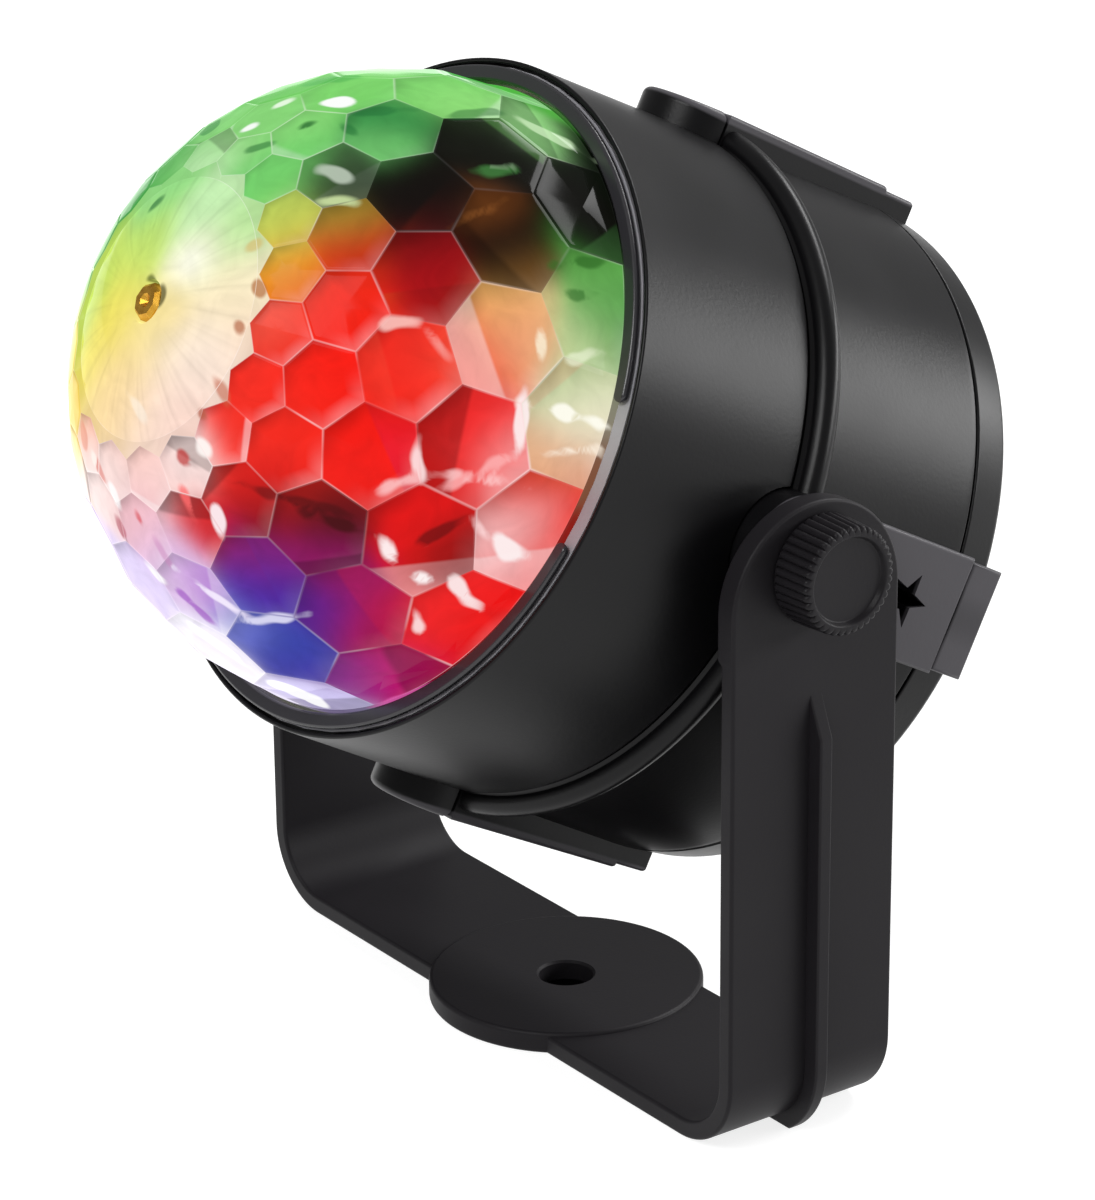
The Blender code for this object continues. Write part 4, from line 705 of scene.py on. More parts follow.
def make_front_shell():
    """Tapered tube with a rebated rim, tongues over and under, and notches for the side pads."""
    corners = [(bore_radius, SEAM_END), (head_radius(SEAM_END), SEAM_END), (RIM_RADIUS, RIM_AHEAD),
               (RIM_RADIUS - RIM_LIP, RIM_AHEAD), (RIM_RADIUS - RIM_LIP, REBATE_FLOOR),
               (bore_radius, REBATE_FLOOR)]
    shell = turned("front_housing", filleted(corners, [0, SEAM_EDGE, LIP_EDGE, LIP_EDGE, 0, 0]))
    places = round_places(4, HOUSING_POST_CIRCLE, HOUSING_POST_PHASE)
    tongues = [nosed_pad(side, SEAM_END, TONGUE_EDGE) for side in (0, 2)]
    posts = [rod("post", FRONT_POST_RADIUS, SEAM_END, FRONT_POST_END, at) for at in places]
    fuse(shell, [bundle(tongues), bundle(posts)])
    notch = tilt_rod("notch", PAD_HALF + NOTCH_GAP, -PAD_REACH, PAD_REACH)
    holes = [rod("hole", SCREW_HOLE_RADIUS, SEAM_END - OVERRUN, FRONT_POST_END - OVERRUN, at)
             for at in places]
    return fuse(shell, [notch, bundle(holes)], "DIFFERENCE")


finish(make_front_shell(), housing_abs, HEAD_BENCH, "head", "front_shell")

# %% [markdown]
# ## The middle shell
#
# The tube behind the seam carries a round bead beside the seam and a raised pad on each side. The
# pads at the sides end in a round nose about the tilt axis, over a solid block that takes the
# pivot's brass insert. The right pad has a small star-shaped hole for the microphone. The bead is
# part of the turned profile, because a ring joined on would leave a crease at its foot.

# %% Middle shell
BEAD_RADIUS = 1.6
BEAD_CENTRE = (44.016, -0.6)
BEAD_STEPS = 21
SEAM_STEP = 0.3                       # how far the shell's front end is drawn in at the seam
STAR_RADIUS = 3.6
STAR_INNER_SHARE = 0.4
STAR_BEHIND = 18.6
STAR_TIPS = 5
PIVOT_BLOCK_RADIUS = 6.4
PIVOT_BLOCK_INNER = 38.0
INSERT_HOLE_RADIUS = 3.8
COVER_POST_CIRCLE = 39.21
COVER_POST_LENGTH = 11.0
COVER_POST_PHASE = 22.5               # degrees


def star(inner, outer):
    """A plain star through the right side pad, one tip to the rear: radii alternate between two."""
    index = np.arange(2 * STAR_TIPS)
    radius = STAR_RADIUS * np.where(index % 2, STAR_INNER_SHARE, 1.0)
    angle = math.pi * index / STAR_TIPS
    outline = np.stack([radius * np.sin(angle), -STAR_BEHIND - radius * np.cos(angle)], axis=1)
    return plate("star", outline, inner, outer, order=(2, 0, 1))


def make_rear_shell():
    """Tube with a bead, two plain pads, two nosed ones, pivot blocks and the star-shaped hole."""
    foot = math.acos((head_radius(0) - BEAD_CENTRE[0]) / BEAD_RADIUS)
    front, rear = head_radius(SEAM_AHEAD), head_radius(REAR_SHELL_END)
    outline = np.concatenate([
        [(front - SHELL_WALL, SEAM_AHEAD), (front - SEAM_STEP, SEAM_AHEAD)],
        arc(BEAD_CENTRE, BEAD_RADIUS, foot, -foot, BEAD_STEPS),
        filleted([(rear, REAR_SHELL_END + 2 * PAD_EDGE), (rear, REAR_SHELL_END),
                  (rear - SHELL_WALL, REAR_SHELL_END)], [0, SHELL_EDGE, 0])])
    shell = turned("middle_housing", outline)
    plain = [pad(side, REAR_SHELL_END, SEAM_AHEAD) for side in (0, 2)]
    nosed = [nosed_pad(side, REAR_SHELL_END) for side in (1, 3)]
    block_end = PAD_REACH - PAD_EDGE
    blocks = [tilt_rod("block", PIVOT_BLOCK_RADIUS, PIVOT_BLOCK_INNER, block_end),
              tilt_rod("block", PIVOT_BLOCK_RADIUS, -block_end, -PIVOT_BLOCK_INNER)]
    places = round_places(4, HOUSING_POST_CIRCLE, HOUSING_POST_PHASE)
    cover_places = round_places(4, COVER_POST_CIRCLE, COVER_POST_PHASE)
    post_end = SEAM_AHEAD - REAR_POST_LENGTH
    posts = [rod("post", REAR_POST_RADIUS, post_end, SEAM_AHEAD, at) for at in places]
    cover_end = REAR_SHELL_END + COVER_POST_LENGTH
    cover_posts = [rod("post", REAR_POST_RADIUS, REAR_SHELL_END, cover_end, at) for at in cover_places]
    fuse(shell, [bundle(plain + nosed), bundle(blocks), bundle(posts), bundle(cover_posts)])
    holes = [rod("hole", SCREW_HOLE_RADIUS, post_end - OVERRUN, SEAM_AHEAD + OVERRUN, at)
             for at in places]
    holes += [rod("hole", SCREW_HOLE_RADIUS, REAR_SHELL_END - OVERRUN, cover_end - OVERRUN, at)
              for at in cover_places]
    reach = PAD_REACH + OVERRUN
    bore = tilt_rod("bore", INSERT_HOLE_RADIUS, -reach, reach)
    return fuse(shell, [bore, bundle(holes), star(PIVOT_BLOCK_INNER, reach)], "DIFFERENCE")


finish(make_rear_shell(), housing_abs, HEAD_BENCH, "head", "rear_shell")

# %% [markdown]
# ## The rear cover
#
# It doesn't show in the picture's view, but the light is looked at from all sides. It is a shallow
# cup with vent slots, four sunk screws, a push button and the way in for the supply cord. The cup
# is turned, and the slots are cut with plates whose ends flare, which eases the edges of the cuts.

# %% Rear cover
COVER_INSIDE = -31.4
COVER_DRAFT = 0.4
COVER_ROUND = 1.2
COVER_PAD_STEP = 0.45
SCREW_SINK_RADIUS = 2.6
SCREW_SEAT = -31.4
DRIVER_RADIUS = 31.01
DRIVER_POST_RADIUS = 2.8
DRIVER_POST_END = -22.1
DRIVER_POST_SHARE = 0.806
BUTTON_PLACE_SHARES = (-0.355, -0.55)
BUTTON_HOLE_RADIUS = 3.9
BUSHING_PLACE_SHARES = (0.0, -0.806)
BUSHING_HOLE_RADIUS = 4.3
VENT_PITCH = 4.2
VENT_HALF = 1.0
VENT_LOWEST = -2.0
VENT_COUNT = 6
VENT_FIELD_SHARE = 0.87
VENT_FLARE = 0.3
VENT_END_STEPS = 12


def vent(height):
    """One vent slot, as long as the round vent field is wide at its height."""
    half = math.sqrt((VENT_FIELD_SHARE * DRIVER_RADIUS) ** 2 - height ** 2) - VENT_HALF
    quarter = math.pi / 2
    outline = np.concatenate([arc((half, height), VENT_HALF, -quarter, quarter, VENT_END_STEPS),
                              arc((-half, height), VENT_HALF, quarter, 3 * quarter, VENT_END_STEPS)])
    return plate("vent", outline, -REAR_BEHIND, COVER_INSIDE + OVERRUN, bottom=-VENT_FLARE)


def make_rear_cover():
    """A shallow cup with four pad ends, its vents, sunk screw places, button hole and cord hole."""
    skirt = head_radius(COVER_FRONT)
    corners = [(0, -REAR_BEHIND), (skirt - COVER_DRAFT, -REAR_BEHIND), (skirt, COVER_FRONT),
               (skirt - SHELL_WALL, COVER_FRONT), (skirt - SHELL_WALL, COVER_INSIDE),
               (0, COVER_INSIDE)]
    cover = turned("back_housing", filleted(corners, [0, COVER_ROUND, SHELL_EDGE, 0, 0, 0]))
    pads = [pad(side, PAD_EDGE - REAR_BEHIND, COVER_FRONT, PAD_HALF - COVER_PAD_STEP,
                PAD_REACH - COVER_PAD_STEP) for side in range(4)]
    places = round_places(4, COVER_POST_CIRCLE, COVER_POST_PHASE)
    foot = COVER_INSIDE - BITE
    board_places = round_places(3, DRIVER_POST_SHARE * DRIVER_RADIUS, 0)
    posts = [rod("post", REAR_POST_RADIUS, foot, COVER_FRONT, at) for at in places]
    posts += [rod("post", DRIVER_POST_RADIUS, foot, DRIVER_POST_END, at) for at in board_places]
    fuse(cover, [bundle(pads), bundle(posts)])
    outside, inside = -REAR_BEHIND - OVERRUN, COVER_INSIDE + OVERRUN
    vents = [vent(VENT_LOWEST + VENT_PITCH * index) for index in range(VENT_COUNT)]
    holes = [rod("hole", SCREW_HOLE_RADIUS, outside, COVER_FRONT + OVERRUN, at) for at in places]
    sinks = [rod("sink", SCREW_SINK_RADIUS, outside, SCREW_SEAT, at) for at in places]
    button_at = np.multiply(BUTTON_PLACE_SHARES, DRIVER_RADIUS)
    bushing_at = np.multiply(BUSHING_PLACE_SHARES, DRIVER_RADIUS)
    ways = [rod("way", BUTTON_HOLE_RADIUS, outside, inside, button_at),
            rod("way", BUSHING_HOLE_RADIUS, outside, inside, bushing_at)]
    return fuse(cover, [bundle(vents), bundle(holes), bundle(sinks), bundle(ways)], "DIFFERENCE")


finish(make_rear_cover(), housing_abs, HEAD_BENCH, "head", "rear_cover")

# %% [markdown]
# ## The retaining ring
#
# A thin glossy ring lies in the rim round the dome and hides the turning gap. It is open low on
# the right, where the flange of the plate under it shows as a grey band. Its section is rounded
# on top, which is what draws the long bright line along it, and both ends are rounded off by
# drawing the section in towards its middle like the end of a rod.

# %% Retaining ring
RING_INNER = 39.5
RING_OUTER = 41.4
RING_BOTTOM = 28.0
RING_TOP = 28.8
RING_CREST = 0.38
RING_EDGE = 0.1
RING_STEPS = 220
RING_END_STEPS = 8
RING_GAP_START = math.radians(76.7)
RING_GAP_END = math.radians(101.2)


def make_ring():
    """The ring's section carried round from one side of its gap to the other, with round ends."""
    corners = [(RING_INNER, RING_BOTTOM), (RING_OUTER, RING_BOTTOM), (RING_OUTER, RING_TOP),
               (RING_INNER, RING_TOP)]
    section = filleted(corners, [RING_EDGE, RING_EDGE, RING_CREST, RING_CREST])
    middle = section.mean(axis=0)
    end = np.linspace(0, math.pi / 2, RING_END_STEPS)
    reach = (RING_TOP - RING_BOTTOM) / RING_OUTER
    last = RING_GAP_START + math.tau
    inside = np.linspace(RING_GAP_END + reach, last - reach, RING_STEPS)[1:-1]
    angle = np.concatenate([RING_GAP_END + reach * (1 - np.sin(end[::-1])), inside,
                            last - reach * (1 - np.sin(end))])
    size = np.concatenate([np.cos(end[::-1]), np.ones_like(inside), np.cos(end)])
    drawn = middle + (section - middle) * size[:, None, None]
    radius, height = drawn[..., 0], drawn[..., 1]
    x, y = radius * np.sin(angle)[:, None], radius * np.cos(angle)[:, None]
    points = np.stack([x, y, height], axis=-1)
    return new_piece("dome_ring", points, grid_faces(*points.shape[:2], close_columns=True))


# Polished black ABS, drawn in dark grey as a painted sheen; its narrow highlight draws a bright line
# along the crest.
ring_abs_painted_sheen = moulded("polished_ring_abs_painted_sheen", "#2a292c", "#333236", (0.2, 0.28), relief=0.01)
finish(make_ring(), ring_abs_painted_sheen, HEAD_BENCH, "head", "retaining_ring")

# %% [markdown]
# ## The thumb knobs
#
# Each knob is a small ribbed wheel with a shallow dish in its face and a pocket behind for its
# washer and stud. One turned profile gives the whole body, and the ribs are a ripple on the
# radius that is full on the grip and fades out on the face and in the pocket.

# %% Knobs
KNOB_FOOT = 50.3
KNOB_FACE = 55.9
KNOB_FOOT_RADIUS = 6.85
KNOB_FACE_RADIUS = 6.6
KNOB_CREST = 0.55
KNOB_DISH_RADIUS = 5.4
KNOB_DISH_DEPTH = 0.7
KNOB_RIBS = 40
KNOB_RIB_DEPTH = 0.42
KNOB_SEAT_RADIUS = 5.3
KNOB_SEAT_END = 51.4
KNOB_POCKET_RADIUS = 4.62
KNOB_POCKET_END = 54.2
KNOB_FOOT_EDGE = 0.2
KNOB_DISH_EDGE = 0.3
KNOB_DISH_FILLET = 0.25
KNOB_DISH_SLOPE = 0.35
GRIP_START = 0.2                      # where the ribs begin, out from the dish
GRIP_FADE = 0.6
GRIP_FOOT = 0.05                      # and how far over the foot
RIB_POINTS = 10
RIB_SHARPNESS = 0.8


def make_knob(name):
    """A turned profile whose radius is cut by depth * (1 - |cos(n a / 2)| to a power) between ribs."""
    floor = KNOB_FACE - KNOB_DISH_DEPTH
    corners = [(0, KNOB_POCKET_END), (KNOB_POCKET_RADIUS, KNOB_POCKET_END),
               (KNOB_POCKET_RADIUS, KNOB_SEAT_END), (KNOB_SEAT_RADIUS, KNOB_SEAT_END),
               (KNOB_SEAT_RADIUS, KNOB_FOOT), (KNOB_FOOT_RADIUS, KNOB_FOOT),
               (KNOB_FACE_RADIUS, KNOB_FACE), (KNOB_DISH_RADIUS, KNOB_FACE),
               (KNOB_DISH_RADIUS - KNOB_DISH_SLOPE, floor), (0, floor)]
    edges = [0, 0, 0, 0, 0, KNOB_FOOT_EDGE, KNOB_CREST, KNOB_DISH_EDGE, KNOB_DISH_FILLET, 0]
    radius, height = filleted(corners, edges).T
    grip = np.clip((radius - KNOB_DISH_RADIUS - GRIP_START) / GRIP_FADE, 0, 1)
    grip *= height > KNOB_FOOT + GRIP_FOOT
    angle = np.arange(KNOB_RIBS * RIB_POINTS)[:, None] * math.tau / (KNOB_RIBS * RIB_POINTS)
    ripple = 1 - np.abs(np.cos(KNOB_RIBS * angle / 2)) ** RIB_SHARPNESS
    reach = radius - KNOB_RIB_DEPTH * grip * ripple
    points = np.stack([reach * np.sin(angle), reach * np.cos(angle), height + 0 * angle], axis=-1)
    return new_piece(name, points, grid_faces(*points.shape[:2], close_rows=True))


for side_name, side in (("right", 1), ("left", -1)):
    knob = spun(make_knob("thumb_knob_" + side_name), side * math.pi / 2, "Y")
    finish(knob, knob_abs, HEAD_BENCH, side_name + "_knob", "knob_" + side_name, 50.0)

# %% [markdown]
# ## The dome's facets
#
# The dome is a clear ball moulded with five rows of hexagons round it and a smooth cap at the
# tip. A honeycomb is drawn flat and wrapped on the ball so that its angles are kept. Each facet is
# a fan of rings from its middle to its outline: nearly flat, with a soft edge that sinks a
# little, where the light catches. The rest, from the cap over the screw's recess and the hub to
# the inside of the wall, is one turned grid whose ends meet the facets point for point.

# %% Shape of the dome
DOME_RADIUS = 39.1
DOME_AHEAD = 28.15
DOME_WALL = 1.7
DOME_FOOT = 26.25
FACETS_ROUND = 18
FACET_ROWS = 5
FACET_PHASE = math.radians(2.0)
CAP_POLAR = math.radians(24.3)
CAP_SINK = 0.5
FACET_CROWN = 0.16                    # how far the middle of a facet bulges
FACET_EDGE_SINK = 0.1
EDGE_POINTS = 8                       # to a side of a facet
HUB_RADIUS = 4.7
HUB_END = 57.05
SOCKET_RADIUS = 3.3
SOCKET_END = 63.65
RECESS_RADIUS = 2.6
RECESS_FLOOR = 65.05
RECESS_EDGE = 0.4
SCREW_HOLE_EDGE = 0.15
CAP_END_SHARE = 1.3                   # where the cap ends, in times the angle of the recess
CAP_STEPS = 40
FACET_RINGS = np.array([0.0, 0.16, 0.32, 0.46, 0.58, 0.69, 0.78, 0.85, 0.9, 0.94, 0.97, 1.0])
EDGE_START = 0.88                     # where a facet's soft edge begins, of the way to its outline
ball = np.array([0.0, 0.0, DOME_AHEAD])
columns_round = 2 * FACETS_ROUND * EDGE_POINTS


def ball_point(polar, azimuth, radius):
    """A point on the ball, by its angle from the axis and its angle from the top towards +X."""
    flat = radius * np.sin(polar)
    out = np.stack([flat * np.sin(azimuth), flat * np.cos(azimuth), radius * np.cos(polar)], axis=-1)
    return ball + out


def honeycomb(level, column):
    """A honeycomb corner on the ball: the angle from the axis is 2 atan(exp(-level * half side))."""
    half_side = math.pi / FACETS_ROUND / math.sqrt(3)
    polar = 2 * np.arctan(np.exp(-np.asarray(level, float) * half_side))
    azimuth = FACET_PHASE + math.pi * np.asarray(column, float) / FACETS_ROUND
    return ball_point(polar, azimuth + 0 * polar, DOME_RADIUS)


def straight_sides(corners):
    """Points along the straight sides of an open chain of corners, without its last corner."""
    share = np.arange(EDGE_POINTS)[:, None] / EDGE_POINTS
    sides = [start + (end - start) * share for start, end in zip(corners, corners[1:])]
    return np.concatenate(sides)


def facet_outline(row):
    """The outline of one facet of a row; the lowest row is cut off at the ball's widest place."""
    middle, column = 1 + 3 * (FACET_ROWS - 1 - row), row % 2
    if row < FACET_ROWS - 1:
        around = [(1, 1), (2, 0), (1, -1), (-1, -1), (-2, 0), (-1, 1), (1, 1)]
        return straight_sides([honeycomb(middle + up, column + over) for up, over in around])
    upper = [honeycomb(0, column + 1)] + [honeycomb(middle + up, column + over)
                                          for up, over in ((1, 1), (2, 0), (1, -1))]
    sides = straight_sides(upper + [honeycomb(0, column - 1)])
    foot = column - 1 + np.arange(2 * EDGE_POINTS) / EDGE_POINTS
    return np.concatenate([sides, honeycomb(np.zeros_like(foot), foot)])


def sunk(points, depth):
    """Moves points towards the middle of the ball."""
    out = points - ball
    return points - out / np.linalg.norm(out, axis=-1, keepdims=True) * depth


def facet_row(row):
    """All facets of a row: (facet, ring, point, xyz), and their middles."""
    outline = facet_outline(row)
    centre = outline.mean(axis=0)
    share = FACET_RINGS[:, None, None]
    flat = centre + (outline - centre) * share
    edge = np.clip((share - EDGE_START) / (1 - EDGE_START), 0, 1) ** 2
    shaped = sunk(flat, FACET_EDGE_SINK * edge - FACET_CROWN * (1 - share ** 2))
    angle = np.arange(FACETS_ROUND) * math.tau / FACETS_ROUND
    cos, sin, zero = np.cos(angle), np.sin(angle), np.zeros(FACETS_ROUND)
    turn = np.stack([np.stack([cos, sin, zero], 1), np.stack([-sin, cos, zero], 1),
                     np.stack([zero, zero, zero + 1], 1)], 1)
    return np.einsum("kij,rpj->krpi", turn, shaped), np.einsum("kij,j->ki", turn, centre)


def cap_profile():
    """Radius and height from the cap's border over the recess, the hub and the wall to the foot."""
    cap_radius = DOME_RADIUS - CAP_SINK
    inner = DOME_RADIUS - DOME_WALL
    recess_polar = math.asin(RECESS_RADIUS / cap_radius)
    polar = np.linspace(CAP_POLAR, recess_polar * CAP_END_SHARE, CAP_STEPS)
    cap = np.stack([cap_radius * np.sin(polar), DOME_AHEAD + cap_radius * np.cos(polar)], axis=1)
    mouth = DOME_AHEAD + cap_radius * math.cos(recess_polar)
    recess = filleted([cap[-1], (RECESS_RADIUS, mouth), (RECESS_RADIUS, RECESS_FLOOR),
                       (SCREW_HOLE_RADIUS, RECESS_FLOOR)], [0, RECESS_EDGE, SCREW_HOLE_EDGE, 0])[1:]
    socket = [(SCREW_HOLE_RADIUS, SOCKET_END), (SOCKET_RADIUS, SOCKET_END), (SOCKET_RADIUS, HUB_END),
              (HUB_RADIUS, HUB_END)]
    polar = np.linspace(math.asin(HUB_RADIUS / inner), math.pi / 2, CAP_STEPS)
    wall = np.stack([inner * np.sin(polar), DOME_AHEAD + inner * np.cos(polar)], axis=1)
    return np.concatenate([cap, recess, socket, wall, [(inner, DOME_FOOT)]])


print("honeycomb of", FACETS_ROUND * FACET_ROWS, "facets, cap border",
      round(2 * DOME_RADIUS * math.sin(CAP_POLAR), 1), "mm across")

# %% [markdown]
# ## The light in the dome
#
# Three coloured lamps shine into the dome from behind, and each facet bends another part of their
# light to the eye. To the eye the dome is a patchwork: green over the top, red across the middle,
# blue-violet at the bottom, pale on the left where the beams overlap, and near black where a facet
# looks at an unlit place. Tracing three lamps through ninety small prisms would take hours to
# render without noise. So the glow is painted light, laid out as soft patches of light on the ball,
# and each facet samples them near its own middle, which is what makes a facet look like a tile.
# Where a facet bends a lamp's edge or a dark gap to the eye, it shows a small streak, and where it
# mirrors a studio lamp, a white glint. Those are a second list, of painted glints and streaks that
# keep an outline of their own.

# %% Patches of light
FAR_WEIGHT = 1e-9                     # what the nearest patches still count for, far from all
FAR_SPREAD = 8.0                      # degrees
# Each patch: angle from the head's axis, angle from the top towards +X, spread, all in degrees,
# and its colour.
GLOW_PATCHES = [
    (36, -10, 7, "#84d474"), (27, -31, 8, "#56b450"), (32, -63, 8, "#3c9e44"), (27, -15, 6, "#d0f4c0"),
    (30, 20, 6, "#74d06c"), (60, -22, 8, "#62c452"), (61, 4, 8, "#7ad468"), (67, 14, 7, "#8edc76"),
    (53, 19, 5, "#2f8a44"), (50, 26, 4, "#74c870"), (79, 4, 7, "#4cb83e"), (78, 25, 5, "#98dc88"),
    (100, 12, 6, "#4aa040"), (95, 8, 7, "#58b848"), (39, 34, 5, "#33452f"), (30, 43, 5, "#c2d25c"),
    (40, 47, 4, "#96862e"), (41, 57, 5, "#c03018"), (30, 59, 5, "#ea921c"), (30, 78, 5, "#f25c4a"),
    (36, 68, 7, "#f42a18"), (41, 87, 10, "#fa1c12"), (34, 106, 8, "#f63428"), (42, 109, 8, "#f8261a"),
    (54, 44, 7, "#120e0c"), (52, 54, 4, "#780c10"), (56, 62, 5, "#a20e16"), (65, 30, 7, "#11130d"),
    (63, 47, 4, "#6e3c16"), (80, 43, 7, "#0d0d0a"), (91, 31, 6, "#0b110a"), (66, 54, 5, "#110b09"),
    (69, 59, 4, "#7a5226"), (80, 54, 5, "#4c9a3c"), (82, 60, 5, "#66ac54"), (85, 65, 6, "#5a9e54"),
    (66, 67, 5, "#e4b45c"), (69, 71, 5, "#f0a078"), (63, 77, 5, "#ee6248"), (72, 64, 3, "#dccb90"),
    (80, 71, 6, "#c4d69c"), (82, 76, 5, "#b2c68c"), (85, 80, 5, "#f0ead0"), (81, 87, 4, "#e8b48a"),
    (86, 88, 5, "#d88c68"), (53, 80, 6, "#f23226"), (51, 100, 7, "#f31a14"), (66, 90, 6, "#f02828"),
    (72, 93, 4, "#f79a9a"), (65, 106, 6, "#e21212"), (72, 110, 4, "#860a0a"), (79, 98, 5, "#de2c1a"),
    (81, 94, 4, "#d04c28"), (82, 106, 5, "#f0b8b8"), (78, 124, 6, "#f02222"), (89, 122, 7, "#ea1212"),
    (88, 111, 6, "#f01616"), (89, 104, 5, "#ee3226"), (54, 116, 5, "#4e0a0e"), (46, 125, 4, "#7c0c14"),
    (42, 121, 4, "#c81414"), (50, 136, 5, "#861a68"), (55, 141, 5, "#4426a4"), (60, 126, 5, "#8c1260"),
    (63, 138, 5, "#561a8a"), (72, 134, 6, "#a40c4c"), (79, 147, 6, "#7c1a84"), (85, 140, 6, "#bc1064"),
    (66, 147, 6, "#2a3aa4"), (72, 152, 5, "#3030a0"), (58, 154, 5, "#7078d0"), (39, 144, 5, "#d8181c"),
    (30, 160, 6, "#fbd8d4"), (24, 169, 6, "#fbc4b2"), (22, -168, 6, "#f6a078"), (23, -137, 6, "#f0d050"),
    (30, -175, 6, "#f8e0dc"), (37, 169, 6, "#f2bcc4"), (47, 163, 6, "#dfbfe8"), (51, 159, 4, "#b070d0"),
    (62, -176, 7, "#dacaf2"), (67, 170, 6, "#f2ecfc"), (85, 177, 6, "#ebe4fa"), (86, 158, 6, "#cfc6f2"),
    (97, 160, 6, "#9c74ce"), (94, 134, 7, "#d81222"), (29, 139, 5, "#fbe4e0"), (23, -113, 6, "#f4e668"),
    (34, -88, 7, "#7cc05c"), (34, -78, 7, "#58a850"),
]
CAP_PATCHES = [
    (12, 40, 6, "#ffffd8"), (11, -41, 7, "#c2e470"), (36, -69, 7, "#82cc58"), (18, 6, 6, "#c6f0b4"),
    (23, -34, 7, "#92dc84"), (21, 41, 6, "#b8e89c"), (8, -121, 8, "#f4e464"), (19, -86, 7, "#c4e060"),
    (7, 147, 7, "#fbe79a"), (18, 73, 7, "#ffecc0"), (22, 63, 6, "#fff0d0"), (15, 108, 8, "#ffeedc"),
    (21, 106, 7, "#ffe9da"), (19, 145, 8, "#ffe2d2"), (14, 176, 7, "#fcdca0"), (25, 130, 7, "#ffd8cc"),
    (27, 90, 6, "#ffe0c8"), (8, 83, 5, "#f0d878"),
    # A painted glare: the white star of a highlight on the cap, as three patches.
    (11.6, 39, 2.4, "#ffffff"), (11.6, 39, 4.5, "#fffff0"), (13, 47, 3.0, "#ffffe0"),
]
GLINT_STREAK_REACH = 3.0                      # degrees, past which no mark counts
